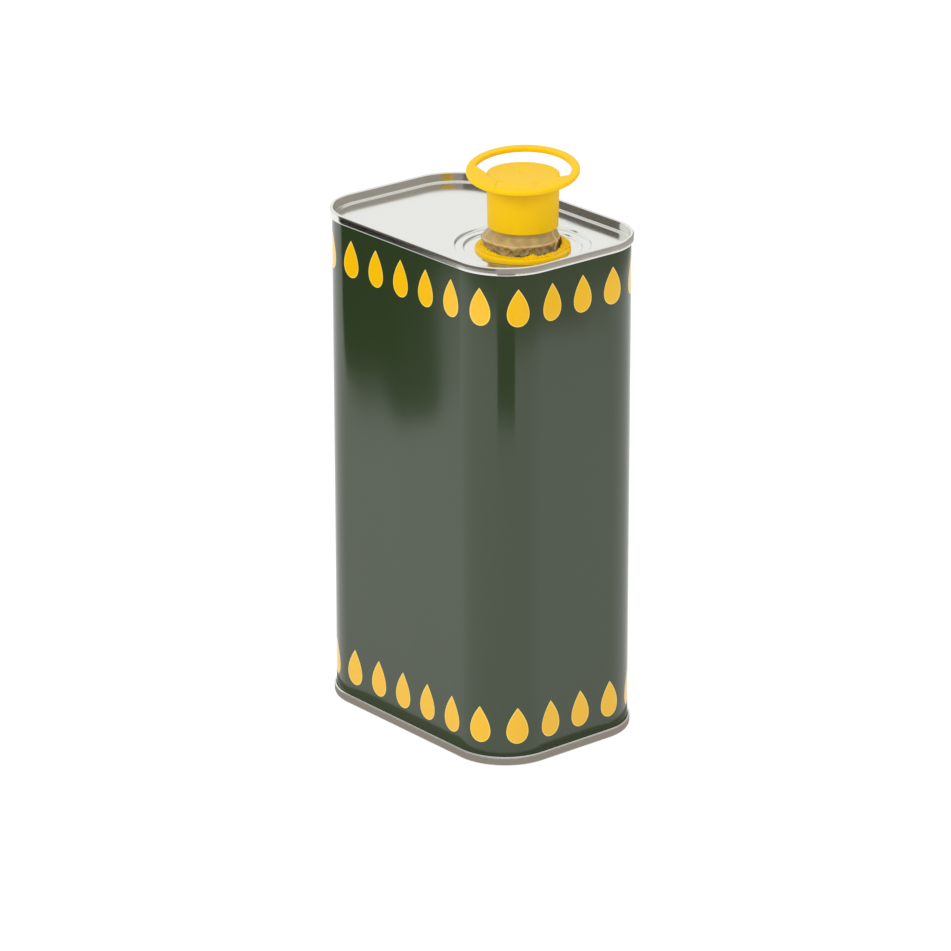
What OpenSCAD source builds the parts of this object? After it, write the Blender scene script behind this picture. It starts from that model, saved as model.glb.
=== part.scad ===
// Rectangular oil tin with a pull-up pouring spout.
// The tin stands on its bottom seam. The origin is the centre of its base,
// +X runs along the wide side towards the spout, and +Z points up.

/* [Tin] */
// Length of the wide side, over the printed sheet
tin_w = 98.5; // [92:0.5:110]
// Depth of the narrow side, over the printed sheet
tin_d = 67; // [62:0.5:80]
// Height from the bottom seam to the crest of the top seam
tin_h = 175; // [150:1:220]
// Outside radius of the four upright corners
corner_r = 18.5; // [17:0.5:24]
// Thickness of the printed sheet
sheet_t = 0.25; // [0.2:0.01:0.3]
// Thickness of the two end plates
end_t = 0.25; // [0.2:0.01:0.3]

/* [Seams] */
// Height of the folded seam round the top end
top_fold_h = 2.9; // [2.6:0.1:3.6]
// Height of the folded seam round the bottom end
bottom_fold_h = 3.4; // [2.6:0.1:3.6]
// Gap between two layers of a folded seam
fold_gap = 0.02; // [0.01:0.005:0.04]
// Rounding of a seam's crest and lower edge
fold_r = 0.4; // [0.2:0.05:0.5]
// Thickness of the sealing compound inside a seam
compound_t = 0.1; // [0.05:0.01:0.15]
// Gap left where a fold ends inside its neighbour
fold_end_gap = 0.15; // [0.1:0.05:0.3]
// Width of the lapped and welded joint of the sheet
weld_w = 1.4; // [0.8:0.1:3]
// How far the welded lap stands out of the sheet
weld_t = 0.15; // [0.1:0.05:0.25]

/* [End plates] */
// Depth of the ledge at the foot of the top end's wall, under the crest
ledge_depth = 3.1; // [3:0.05:3.3]
// Width of that ledge
ledge_w = 0.6; // [0.4:0.05:1]
// Depth of the top end's flat panel under the crest
panel_depth = 3.4; // [3.3:0.05:4]
// Width of the slope between the ledge and the panel
slope_w = 0.9; // [0.6:0.1:1.6]
// Depth of the bottom end's panel, above the surface that the tin stands on
bottom_depth = 3.9; // [3.8:0.1:5]
// Width of the rounded foot of the bottom end's wall
bottom_slope_w = 1.6; // [1:0.1:3]
// Height and width of the bend between that wall and its foot
bottom_bend = 0.3; // [0.2:0.05:0.5]
// How far an end plate's wall curves as it runs into its ledge
wall_bend = 0.4; // [0.3:0.05:0.6]
// Radius of the hole for the spout
hole_r = 14; // [13:0.1:16]
// Depth of the lip turned down round that hole
hole_lip = 1.2; // [0.8:0.1:2]
// Radius of the outer of the two steps down from the panel to the spout's seat
step_out_r = 22.7; // [21.5:0.1:24]
// Radius of the inner step
step_in_r = 19.8; // [18:0.1:21]
// Width of a step's slope
step_w = 0.5; // [0.3:0.05:0.8]
// Height of a step
step_h = 0.8; // [0.6:0.05:1]

/* [Spout collar] */
// Distance of the spout's axis from the tin's middle, along the wide side
spout_x = 21.7; // [14:0.1:22]
// Radius of the collar's flange on its seat
flange_r = 15.9; // [15.2:0.1:17.5]
// Height of that flange
flange_h = 1; // [0.8:0.1:1.4]
// Radius of the collar's bore, which the spout is drawn through
bore_r = 12.5; // [12.4:0.05:13]
// Radius of the bore's flared mouth
mouth_r = 13.4; // [13:0.1:14]
// Gap between the collar's skirt and the hole's lip
collar_gap = 0.15; // [0.1:0.05:0.3]
// Depth of the collar's skirt under its seat
collar_depth = 4.9; // [4.4:0.1:7]
// How far the snap bead stands out of the skirt
bead_out = 0.7; // [0.4:0.1:1]
// Height of the snap bead
bead_h = 1; // [0.8:0.1:1.4]
// Height of the spout's foot ring, pressed into the collar's end
foot_h = 0.8; // [0.6:0.1:1.2]
// Width of the foot ring's tongue and the collar's groove
tongue_w = 0.45; // [0.35:0.05:0.5]
// Height of the foot ring's tongue
tongue_h = 1.3; // [0.8:0.1:1.6]
// Gap round the foot ring's tongue
tongue_gap = 0.03; // [0.02:0.01:0.08]
// Bevel of the flange's upper edge
flange_bevel = 0.35; // [0.2:0.05:0.6]
// Gap between the snap bead and the hole's lip
bead_gap = 0.2; // [0.1:0.05:0.3]
// Height of the snap bead's upright side
bead_land = 0.3; // [0.1:0.05:0.5]
// Thickness of the torn film that is left on the collar's mouth
film_t = 0.35; // [0.25:0.05:0.45]
// Depth of the film's root under the flange's top
film_root = 0.45; // [0.3:0.05:0.8]
// How far the film leans in at its torn edge
film_lean = 0.2; // [0.1:0.05:0.3]
// Gap between the film and the mouth's wall
film_gap = 0.02; // [0.01:0.01:0.05]

/* [Flexible spout] */
// Thickness of the spout's flexible wall
sleeve_t = 0.45; // [0.3:0.05:0.6]
// Gap between the wall and what it is fitted in or on
sleeve_gap = 0.06; // [0.04:0.01:0.1]
// How far the wall draws in under its fold
sleeve_waist = 0.8; // [0.1:0.05:1]
// Height above the seat of the fold where the wall is crumpled
fold_ridge_h = 4.4; // [3.8:0.1:5.2]
// Radius of that fold
fold_ridge_r = 12.4; // [12:0.1:12.8]
// Height of the fold's upright crest
fold_crest = 0.5; // [0.3:0.1:0.8]
// Height over which the wall widens into the fold
fold_rise = 1.7; // [1:0.1:2.4]
// Height above the seat of the neck's shoulder
shoulder_h = 6.5; // [5.8:0.1:11]
// Height of the neck's shoulder
shoulder_t = 1.4; // [1:0.1:2]
// Radius of the neck's shoulder
shoulder_r = 10.3; // [10:0.05:10.4]
// Outside radius of the threaded neck
neck_r = 9.45; // [9:0.05:9.6]
// Inside radius of the neck, where the oil is poured
pour_r = 8.2; // [7.5:0.1:8.5]
// Height of the neck over its shoulder's lower face
neck_h = 17.6; // [17:0.1:22]
// Rounding of the neck's rim
rim_r = 0.4; // [0.2:0.05:0.5]

/* [Cap] */
// Outside radius of the cap's skirt at its lower edge
skirt_low_r = 11.65; // [11.5:0.05:12]
// Outside radius of the cap's skirt at its top
skirt_top_r = 12.05; // [11.9:0.05:12.2]
// Radius of the cap's bore
cap_bore_r = 10.6; // [10.5:0.05:10.9]
// Gap between the cap's lower edge and the neck's shoulder
cap_gap = 0.2; // [0.1:0.05:0.5]
// Thickness of the cap's top
cap_top_t = 1.2; // [1:0.1:1.8]
// Rounding of the cap's top edge
cap_edge_r = 0.6; // [0.3:0.05:1]
// Thickness of the sealing disc in the cap
liner_t = 0.8; // [0.5:0.1:1.2]
// Gap between the sealing disc and the cap's bore
liner_gap = 0.3; // [0.2:0.05:0.5]
// Gap between the neck's rim and the sealing disc
seal_gap = 0.02; // [0.01:0.01:0.05]

/* [Thread] */
// Rise of the cap for one full turn
thread_lead = 6; // [5:0.5:7]
// Number of thread starts
thread_starts = 2; // [1:1:2]
// Turns of each ridge
thread_turns = 1; // [0.7:0.05:1.1]
// How far a ridge stands out of its wall
ridge_h = 0.85; // [0.6:0.05:0.85]
// Width of a ridge at its foot
ridge_foot = 1.3; // [1:0.05:1.4]
// Width of a ridge at its crest
ridge_crest = 0.6; // [0.4:0.05:0.7]
// Depth of the thread's upper end under the neck's rim
thread_inset = 3.2; // [2.8:0.1:4]

/* [Pull ring] */
// Outside radius of the pull ring
ring_r = 18.65; // [18:0.05:19]
// Radius of the opening inside the pull ring
ring_in_r = 15.9; // [15:0.1:16.1]
// Thickness of the pull ring
ring_t = 1.7; // [1.3:0.1:2]
// Angle by which the pull ring is bent up
ring_tilt = 7.6; // [0:0.2:12]
// Direction of the pull ring's hinge, from +X
ring_dir = -50; // [-180:1:180]
// Distance of the hinge line from the spout's axis
hinge_out = 16.4; // [16.3:0.05:16.6]
// Width of the tongue that joins the cap to the hinge
hinge_w = 13; // [8:0.5:14]
// Thickness of that tongue, under which the lifted ring finds room
hinge_t = 1.05; // [0.8:0.05:1.1]
// Gap between the cap's skirt and the ring's web
web_gap = 0.3; // [0.2:0.05:0.6]
// Gap round the hinge tongue
hinge_gap = 0.12; // [0.08:0.01:0.3]

/* [Hidden] */
$fn = 96;
// How far two shapes of one solid run into each other
join = 0.3;

// Layers of a folded seam, measured outwards from the sheet's outer face
wall_in = -sheet_t - fold_gap;
chuck_in = wall_in - end_t;
hook_in = fold_gap;
hook_out = hook_in + end_t;
sheet_hook_in = hook_out + fold_gap;
sheet_hook_out = sheet_hook_in + sheet_t;
apron_in = sheet_hook_out + fold_gap;
fold_out = apron_in + end_t;
// Depths inside a folded seam, measured down from its crest
flange_depth = end_t + compound_t + fold_gap;
hook_depth = flange_depth + sheet_t + fold_end_gap;

// Heights along the spout
panel_z = tin_h - panel_depth;
seat_z = panel_z - 2 * step_h;
flange_top = seat_z + flange_h;
collar_end = seat_z - collar_depth;
collar_r = hole_r - collar_gap;
bead_top = seat_z - hole_lip - bead_gap;
foot_end = collar_end - foot_h;
groove_in = (bore_r + collar_r - tongue_w) / 2;
ridge_z = seat_z + fold_ridge_h;
shoulder_z = seat_z + shoulder_h;
shoulder_top = shoulder_z + shoulder_t;
neck_top = shoulder_top + neck_h - shoulder_t;
cap_low = shoulder_top + cap_gap;
liner_top = neck_top + seal_gap + liner_t;
cap_top = liner_top + cap_top_t;

// Rags of torn film: start angle, sweep, height over the flange and width out over it
film_pieces = [[-176, 30, 0.25, 0.1], [-143, 19, 0.8, 1.5], [-122, 20, 1.2, 1.9],
               [-100, 18, 0.7, 1.2], [-79, 40, 0.15, 0.1], [-36, 13, 0.9, 0.4],
               [-20, 14, 0.35, 0.2], [-4, 14, 0.45, 0.3], [12, 22, 0.2, 0.1],
               [37, 28, 1.4, 0.3], [67, 26, 1, 0.2], [96, 40, 0.2, 0.1]];

// Thread
thread_pitch = thread_lead / thread_starts;
thread_step = 12;
thread_sink = 0.2;
neck_thread_z = neck_top - thread_inset - thread_lead * thread_turns;
cap_thread_z = neck_thread_z - thread_pitch / 2;

// Pull ring: the hinge lies in the ring's middle plane, which meets the cap's top edge
web_r = skirt_top_r + web_gap;
hinge_z = cap_top - ring_t / 2 * cos(ring_tilt) - (hinge_out - skirt_top_r) * tan(ring_tilt);
tongue_in = sqrt(pow(skirt_low_r, 2) - pow(hinge_w / 2, 2)) - join;
// Corners of the web, as radius and angle from the hinge's direction
web_corners = [[ring_in_r + 0.6, -94], [web_r - 0.4, -64], [web_r - 0.6, -30], [web_r - 0.6, 30],
               [web_r - 0.4, 66], [ring_in_r + 0.6, 80], [ring_in_r + 3, 50], [ring_in_r + 3, 0],
               [ring_in_r + 3, -60]];

// A flat plate with the tin's rounded corners
module rounded_plate(w, d, r, t) {
    linear_extrude(height = t) {
        square([w - 2 * r, d], center = true);
        square([w, d - 2 * r], center = true);
        for (sx = [-1, 1])
            for (sy = [-1, 1])
                translate([sx * (w / 2 - r), sy * (d / 2 - r)]) circle(r);
    }
}

// Carries a flat profile once round the tin: its x runs outwards from the sheet, its y up
module round_the_tin() {
    for (side = [0:3]) {
        half_w = side % 2 == 0 ? tin_w / 2 : tin_d / 2;
        half_d = side % 2 == 0 ? tin_d / 2 : tin_w / 2;
        rotate([0, 0, 90 * side]) {
            translate([half_w - corner_r, half_d - corner_r, 0])
                rotate_extrude(angle = 90) translate([corner_r, 0]) children();
            translate([half_w, half_d - corner_r, 0])
                rotate([90, 0, 0]) linear_extrude(height = 2 * (half_d - corner_r)) children();
        }
    }
}

// A rectangle given by its two opposite corners
module span(low, high) {
    translate(low) square(high - low);
}

// Solid outline of a folded seam: crest at y = 0, rounded at the crest and at the outer foot
module fold_outline(fold_h) {
    span([chuck_in, -fold_h], [fold_out - fold_r, -fold_r]);
    span([chuck_in + fold_r, -fold_h], [fold_out - fold_r, 0]);
    span([chuck_in, fold_r - fold_h], [fold_out, -fold_r]);
    translate([chuck_in + fold_r, -fold_r]) circle(fold_r);
    translate([fold_out - fold_r, -fold_r]) circle(fold_r);
    translate([fold_out - fold_r, fold_r - fold_h]) circle(fold_r);
}

// The end plate's share of a folded seam, with room for the sheet's hook
module end_fold(fold_h) {
    difference() {
        fold_outline(fold_h);
        span([wall_in, -fold_h - 1], [hook_in, -end_t]);
        span([wall_in, -hook_depth], [apron_in, -end_t]);
        span([hook_out, end_t - fold_h], [apron_in, -end_t]);
    }
}

// The sheet's share of a folded seam: wall, flange and hook
module sheet_fold(fold_h) {
    span([-sheet_t, -fold_h - 2], [0, -flange_depth]);
    span([-sheet_t, -flange_depth - sheet_t], [sheet_hook_out, -flange_depth]);
    span([sheet_hook_in, end_t + fold_end_gap - fold_h], [sheet_hook_out, -flange_depth]);
}

// The wall and foot of an end plate, from the seam down to its flat panel
module end_wall(ledge_y, ledge_x, panel_y, slope_x) {
    ledge_in = chuck_in - ledge_x;
    panel_in = ledge_in - slope_x;
    polygon([[chuck_in, -1], [chuck_in, ledge_y + wall_bend],
             [chuck_in - wall_bend / 2, ledge_y + wall_bend / 4], [ledge_in, ledge_y],
             [panel_in, panel_y], [panel_in - join, panel_y], [panel_in - join, panel_y - end_t],
             [panel_in, panel_y - end_t], [ledge_in, ledge_y - end_t],
             [wall_in - wall_bend / 2, ledge_y - wall_bend / 4],
             [wall_in, ledge_y + wall_bend * 3 / 4], [wall_in, -1]]);
}

// Ring of sealing compound that fills the seam over the sheet's flange
module compound() {
    span([-sheet_t, -end_t - compound_t], [sheet_hook_out, -end_t]);
}

module tin_body() {
    color("#2f4130") {
        round_the_tin() {
            union() {
                span([-sheet_t, bottom_fold_h], [0, tin_h - top_fold_h]);
                translate([0, tin_h]) sheet_fold(top_fold_h);
                mirror([0, 1]) sheet_fold(bottom_fold_h);
            }
        }
        translate([-tin_w / 2 - weld_t, -weld_w / 2, bottom_fold_h + weld_t])
            cube([weld_t + sheet_t / 2, weld_w, tin_h - top_fold_h - bottom_fold_h - 2 * weld_t]);
    }
}

module top_end() {
    plate_in = -chuck_in + ledge_w + slope_w + join / 2;
    color("#d9dad5") {
        translate([0, 0, tin_h]) round_the_tin() {
            union() {
                end_fold(top_fold_h);
                end_wall(-ledge_depth, ledge_w, -panel_depth, slope_w);
            }
        }
        difference() {
            translate([0, 0, panel_z - end_t])
                rounded_plate(tin_w - 2 * plate_in, tin_d - 2 * plate_in, corner_r - plate_in, end_t);
            translate([spout_x, 0, panel_z - 2 * end_t])
                cylinder(r = step_out_r + end_t - join, h = 4 * end_t);
        }
        translate([spout_x, 0, seat_z]) spout_seat();
    }
}

// The stepped seat of the spout and the lip turned down round its hole
module spout_seat() {
    rotate_extrude() {
        span([hole_r, -hole_lip], [hole_r + end_t, 0]);
        polygon([[hole_r, -end_t], [step_in_r - step_w + end_t / 2, -end_t],
                 [step_in_r + end_t / 2, step_h - end_t],
                 [step_out_r - step_w + end_t / 2, step_h - end_t],
                 [step_out_r + end_t / 2, 2 * step_h - end_t],
                 [step_out_r + end_t, 2 * step_h - end_t], [step_out_r + end_t, 2 * step_h],
                 [step_out_r, 2 * step_h], [step_out_r - step_w, step_h],
                 [step_in_r, step_h], [step_in_r - step_w, 0], [hole_r, 0]]);
    }
}

module bottom_end() {
    plate_in = -chuck_in + bottom_bend + bottom_slope_w + join / 2;
    color("#cfd0cb") {
        mirror([0, 0, 1]) round_the_tin() {
            union() {
                end_fold(bottom_fold_h);
                end_wall(bottom_bend - bottom_depth, bottom_bend, -bottom_depth, bottom_slope_w);
            }
        }
        translate([0, 0, bottom_depth])
            rounded_plate(tin_w - 2 * plate_in, tin_d - 2 * plate_in, corner_r - plate_in, end_t);
    }
}

module top_compound() {
    color("#b9b6a8")
        translate([0, 0, tin_h]) round_the_tin() compound();
}

module bottom_compound() {
    color("#b9b6a8")
        mirror([0, 0, 1]) round_the_tin() compound();
}

module spout_collar() {
    color("#f2c21a") translate([spout_x, 0, 0]) rotate_extrude() difference() {
        union() {
            polygon([[bore_r, collar_end], [collar_r, collar_end], [collar_r, seat_z],
                     [flange_r, seat_z], [flange_r, flange_top - flange_bevel],
                     [flange_r - flange_bevel, flange_top], [mouth_r, flange_top],
                     [bore_r, seat_z]]);
            polygon([[collar_r, bead_top - bead_h], [collar_r + bead_out, bead_top - bead_land],
                     [collar_r + bead_out, bead_top], [collar_r, bead_top]]);
        }
        span([groove_in, collar_end - join],
             [groove_in + tongue_w, collar_end + tongue_h + tongue_gap]);
    }
}

// What is left of the tear-off film on the collar's flared mouth: a ragged rim
module torn_film() {
    root_z = flange_top - film_root;
    root_r = mouth_r - film_root * (mouth_r - bore_r) / flange_h - film_gap;
    lip_r = mouth_r - film_gap;
    color("#eebd12") translate([spout_x, 0, 0])
        for (piece = film_pieces)
            rotate([0, 0, piece[0]]) rotate_extrude(angle = piece[1])
                polygon([[root_r - film_t, root_z], [root_r, root_z], [lip_r, flange_top],
                         [lip_r + piece[3], flange_top],
                         [lip_r + piece[3] / 2 - film_lean, flange_top + piece[2]],
                         [lip_r - film_lean - film_t, flange_top + piece[2]]]);
}

module sleeve_foot() {
    color("#cfc4a0") translate([spout_x, 0, 0]) rotate_extrude() {
        span([bore_r, foot_end], [collar_r, collar_end]);
        span([groove_in + tongue_gap, collar_end - join],
             [groove_in + tongue_w - tongue_gap, collar_end + tongue_h]);
    }
}

// Centre line of the flexible wall: up through the bore, out to the fold, in to the shoulder
sleeve_r = bore_r - sleeve_gap - sleeve_t / 2;
fold_line_r = fold_ridge_r - sleeve_t / 2;
seat_r = shoulder_r + sleeve_gap + sleeve_t / 2;
sleeve_line = [[sleeve_r, foot_end], [sleeve_r, seat_z],
               [sleeve_r - sleeve_waist, ridge_z - fold_crest - fold_rise],
               [fold_line_r, ridge_z - fold_crest], [fold_line_r, ridge_z],
               [seat_r, shoulder_z], [seat_r, shoulder_top]];

module spout_sleeve() {
    inner = [for (p = sleeve_line) [p[0] - sleeve_t / 2, p[1]]];
    outer = [for (i = [len(sleeve_line) - 1:-1:0])
             [sleeve_line[i][0] + sleeve_t / 2, sleeve_line[i][1]]];
    color("#cbbf95", 0.7) translate([spout_x, 0, 0])
        rotate_extrude() polygon(concat(inner, outer));
}

// One helical ridge, from its foot in the wall to its crest, faded out at both ends
module ridge(foot_r, crest_r) {
    steps = ceil(360 * thread_turns / thread_step);
    side = crest_r > foot_r ? 1 : -1;
    points = [for (i = [0:steps])
        let (a = i * thread_step,
             z = thread_lead * a / 360,
             fade = min(1, (i + 0.5) / 3, (steps - i + 0.5) / 3),
             tip = foot_r + side * thread_sink + (crest_r - foot_r - side * thread_sink) * fade)
        for (p = [[foot_r, z - ridge_foot / 2], [foot_r, z + ridge_foot / 2],
                  [tip, z + ridge_crest / 2], [tip, z - ridge_crest / 2]])
            [p[0] * cos(a), p[0] * sin(a), p[1]]];
    quads = [for (i = [0:steps - 1], k = [0:3])
        let (a = 4 * i + k, b = 4 * i + (k + 1) % 4)
        side > 0 ? [a, a + 4, b + 4, b] : [a, b, b + 4, a + 4]];
    last = 4 * steps;
    ends = side > 0 ? [[0, 1, 2, 3], [last + 3, last + 2, last + 1, last]]
                    : [[3, 2, 1, 0], [last, last + 1, last + 2, last + 3]];
    polyhedron(points, concat([for (q = concat(quads, ends)) each [[q[0], q[1], q[2]],
                                                                    [q[0], q[2], q[3]]]]));
}

module thread(foot_r, crest_r, z) {
    for (start = [0:thread_starts - 1])
        translate([0, 0, z]) rotate([0, 0, 360 / thread_starts * start]) ridge(foot_r, crest_r);
}

module spout_neck() {
    color("#d6cfae") translate([spout_x, 0, 0]) {
        rotate_extrude() {
            span([pour_r, shoulder_z], [neck_r, neck_top - rim_r]);
            span([pour_r, shoulder_z], [shoulder_r, shoulder_top]);
            span([pour_r, neck_top - 2 * rim_r], [neck_r - rim_r, neck_top]);
            translate([neck_r - rim_r, neck_top - rim_r]) circle(rim_r);
        }
        thread(neck_r - thread_sink, neck_r + ridge_h, neck_thread_z);
    }
}

module cap_liner() {
    color("#ece9dd") translate([spout_x, 0, liner_top - liner_t])
        cylinder(r = cap_bore_r - liner_gap, h = liner_t);
}

// Places a flat shape in the plane of the pull ring: x away from the spout's axis
module in_ring_plane() {
    translate([spout_x, 0, 0]) rotate([0, 0, ring_dir]) translate([hinge_out, 0, hinge_z])
        rotate([0, ring_tilt, 0]) translate([-hinge_out, 0, 0]) children();
}

module screw_cap() {
    color("#f6ca1c") {
        difference() {
            union() {
                translate([spout_x, 0, 0]) rotate_extrude() {
                    polygon([[0, cap_low], [skirt_low_r, cap_low],
                             [skirt_top_r, cap_top - cap_edge_r],
                             [skirt_top_r - cap_edge_r, cap_top], [0, cap_top]]);
                    intersection() {
                        translate([skirt_top_r - cap_edge_r, cap_top - cap_edge_r]) circle(cap_edge_r);
                        span([0, cap_top - cap_edge_r], [skirt_top_r, cap_top]);
                    }
                }
                difference() {
                    in_ring_plane() {
                        translate([tongue_in, -hinge_w / 2, ring_t / 2 - hinge_t])
                            cube([hinge_out - tongue_in, hinge_w, hinge_t]);
                        translate([hinge_out, hinge_w / 2, 0]) rotate([90, 0, 0])
                            cylinder(r = ring_t / 2, h = hinge_w);
                    }
                    translate([spout_x, 0, cap_top]) cylinder(r = ring_r, h = ring_r);
                }
            }
            translate([spout_x, 0, cap_low - join])
                cylinder(r = cap_bore_r, h = liner_top - cap_low + join);
        }
        translate([spout_x, 0, 0])
            thread(cap_bore_r + thread_sink, cap_bore_r - ridge_h, cap_thread_z);
    }
}

// The ring, its crescent web in front, and the slot that takes the cap's tongue
module ring_outline() {
    difference() {
        circle(ring_r);
        circle(ring_in_r);
    }
    difference() {
        intersection() {
            circle(ring_in_r + join);
            polygon([for (c = web_corners) [c[0] * cos(c[1]), c[0] * sin(c[1])]]);
        }
        circle(web_r);
    }
}

module pull_ring() {
    color("#f8d024") in_ring_plane() difference() {
        translate([0, 0, -ring_t / 2]) linear_extrude(height = ring_t) ring_outline();
        translate([0, -hinge_w / 2 - hinge_gap, -ring_t])
            cube([hinge_out, hinge_w + 2 * hinge_gap, 2 * ring_t]);
        translate([hinge_out, hinge_w / 2 + hinge_gap, 0]) rotate([90, 0, 0])
            cylinder(r = ring_t / 2 + hinge_gap, h = hinge_w + 2 * hinge_gap);
    }
}

tin_body();
top_end();
bottom_end();
top_compound();
bottom_compound();
spout_collar();
torn_film();
sleeve_foot();
spout_sleeve();
spout_neck();
cap_liner();
screw_cap();
pull_ring();
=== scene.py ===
"""Rectangular oil tin with a pull-up pouring spout: its dressed pieces and studio stage."""

import bmesh
import bpy
import numpy as np
from bpy.props import FloatProperty, FloatVectorProperty, IntProperty, PointerProperty
from bpy.types import NodeSocket, Operator, Panel, PropertyGroup
from mathutils import Matrix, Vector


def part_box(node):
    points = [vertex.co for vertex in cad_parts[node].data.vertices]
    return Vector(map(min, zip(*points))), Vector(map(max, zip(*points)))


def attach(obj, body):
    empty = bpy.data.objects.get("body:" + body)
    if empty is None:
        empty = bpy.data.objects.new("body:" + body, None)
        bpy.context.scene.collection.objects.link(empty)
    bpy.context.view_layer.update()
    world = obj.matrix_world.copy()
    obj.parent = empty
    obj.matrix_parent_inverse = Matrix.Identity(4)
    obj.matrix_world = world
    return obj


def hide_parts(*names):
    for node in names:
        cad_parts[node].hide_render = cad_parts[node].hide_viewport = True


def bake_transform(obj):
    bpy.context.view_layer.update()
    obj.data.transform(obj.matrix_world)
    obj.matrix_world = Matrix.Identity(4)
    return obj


bl_info = {
    "name": "Oil Tin with Spout",
    "version": (1, 0, 0),
    "blender": (4, 5, 0),
    "location": "View3D > Sidebar > Oil Tin",
    "description": "Builds a rectangular oil tin with its pull-up spout and studio stage",
    "category": "Object",
}

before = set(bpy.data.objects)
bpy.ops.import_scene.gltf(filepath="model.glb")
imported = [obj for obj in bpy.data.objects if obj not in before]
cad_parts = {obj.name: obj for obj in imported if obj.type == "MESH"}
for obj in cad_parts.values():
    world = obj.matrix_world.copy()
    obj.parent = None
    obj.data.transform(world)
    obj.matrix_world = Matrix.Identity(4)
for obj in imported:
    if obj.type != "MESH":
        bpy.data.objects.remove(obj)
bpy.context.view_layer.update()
MM = 0.001
DEGREE = np.pi / 180

# Places that the CAD model gives
SEAM_OUT, TIN_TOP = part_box("top_end")[1].x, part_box("top_end")[1].z
SPOUT_X = (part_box("cap_liner")[0].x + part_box("cap_liner")[1].x) / 2
FOOT_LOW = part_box("sleeve_foot")[0].z
COLLAR_LOW, COLLAR_HIGH = (corner.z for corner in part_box("spout_collar"))
SHOULDER_LOW, NECK_TOP = (corner.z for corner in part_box("spout_neck"))
CAP_LOW, CAP_TOP = (corner.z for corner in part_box("screw_cap"))
LINER_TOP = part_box("cap_liner")[1].z

# Gap between the sheets that lie on each other in the seams
FOLD_GAP = 0.02 * MM
# The camera's direction from the tin, counted from -Y towards +X
VIEW_AZIMUTH = 50.34 * DEGREE
# The ways in which the ring's tongue points and the flexible wall leans, counted from +X
HINGE_WAY = -50 * DEGREE
LEAN_WAY = -130 * DEGREE
# Half the angle that the ring's slot for the tongue spans, seen from the cap's axis
SLOT_SPREAD = 33 * DEGREE


def linear(hex_colour):
    """The linear red, green and blue of an sRGB hex value."""
    srgb = np.array([int(hex_colour[i : i + 2], 16) for i in (1, 3, 5)]) / 255
    low, high = srgb / 12.92, ((srgb + 0.055) / 1.055) ** 2.4
    return tuple(float(c) for c in np.where(srgb <= 0.04045, low, high))


def size(name, description, millimetres):
    """A length property whose default is given in millimetres."""
    return FloatProperty(
        name=name, description=description, default=millimetres * MM, unit="LENGTH", precision=5
    )


def tint(name, description, hex_colour):
    """A colour property whose default is an sRGB hex value."""
    return FloatVectorProperty(
        name=name, description=description, default=linear(hex_colour), subtype="COLOR",
        min=0, max=1,
    )


class TinSizes(PropertyGroup):
    """Lengths of the sheet and of both ends"""

    width: size("Width", "Wide side over the printed sheet", 98.5)
    depth: size("Depth", "Narrow side over the printed sheet", 67)
    corner: size("Corner radius", "Outside radius of the upright corners", 18.5)
    plate: size("Plate thickness", "Thickness of the sheet and of the end plates", 0.25)
    top_seam: size("Top seam", "Height of the folded seam at the top", 2.9)
    bottom_seam: size("Bottom seam", "Height of the folded seam at the bottom", 3.4)
    ledge_depth: size("Ledge depth", "Depth of the lid's ledge under the seam's crest", 3.1)
    panel_depth: size("Panel depth", "Depth of the lid's panel under the seam's crest", 3.4)
    seat_depth: size("Seat depth", "Depth of the spout's stepped seat under the panel", 1.6)
    base_depth: size("Base depth", "Height of the base plate over the floor", 3.9)
    hole: size("Hole radius", "Hole in the lid that takes the spout", 14)
    step_out: size("Outer step", "Radius of the outer step down to the spout's seat", 22.45)
    step_in: size("Inner step", "Radius of the inner step down to the spout's seat", 19.55)
    wave: size("Waviness", "How far the flat sheet sides bow in and out", 0.025)


class PrintSizes(PropertyGroup):
    """Number and lengths of the printed drops"""

    drops: IntProperty(
        name="Drops", description="Drops in each row round the tin", default=23, min=1
    )
    first: size("First drop", "Distance of a drop from the middle of the front corner", 5.83)
    drop_width: size("Drop width", "Width of a printed drop", 7.7)
    drop_height: size("Drop height", "Height of a printed drop", 13)
    low_tip: size("Lower tips", "Height of the lower row's tips", 20.8)
    high_tip: size("Upper tips", "Height of the upper row's tips", 167.5)
    edge: size("Drop edge", "Width of a drop's pale edge", 0.25)


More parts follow.
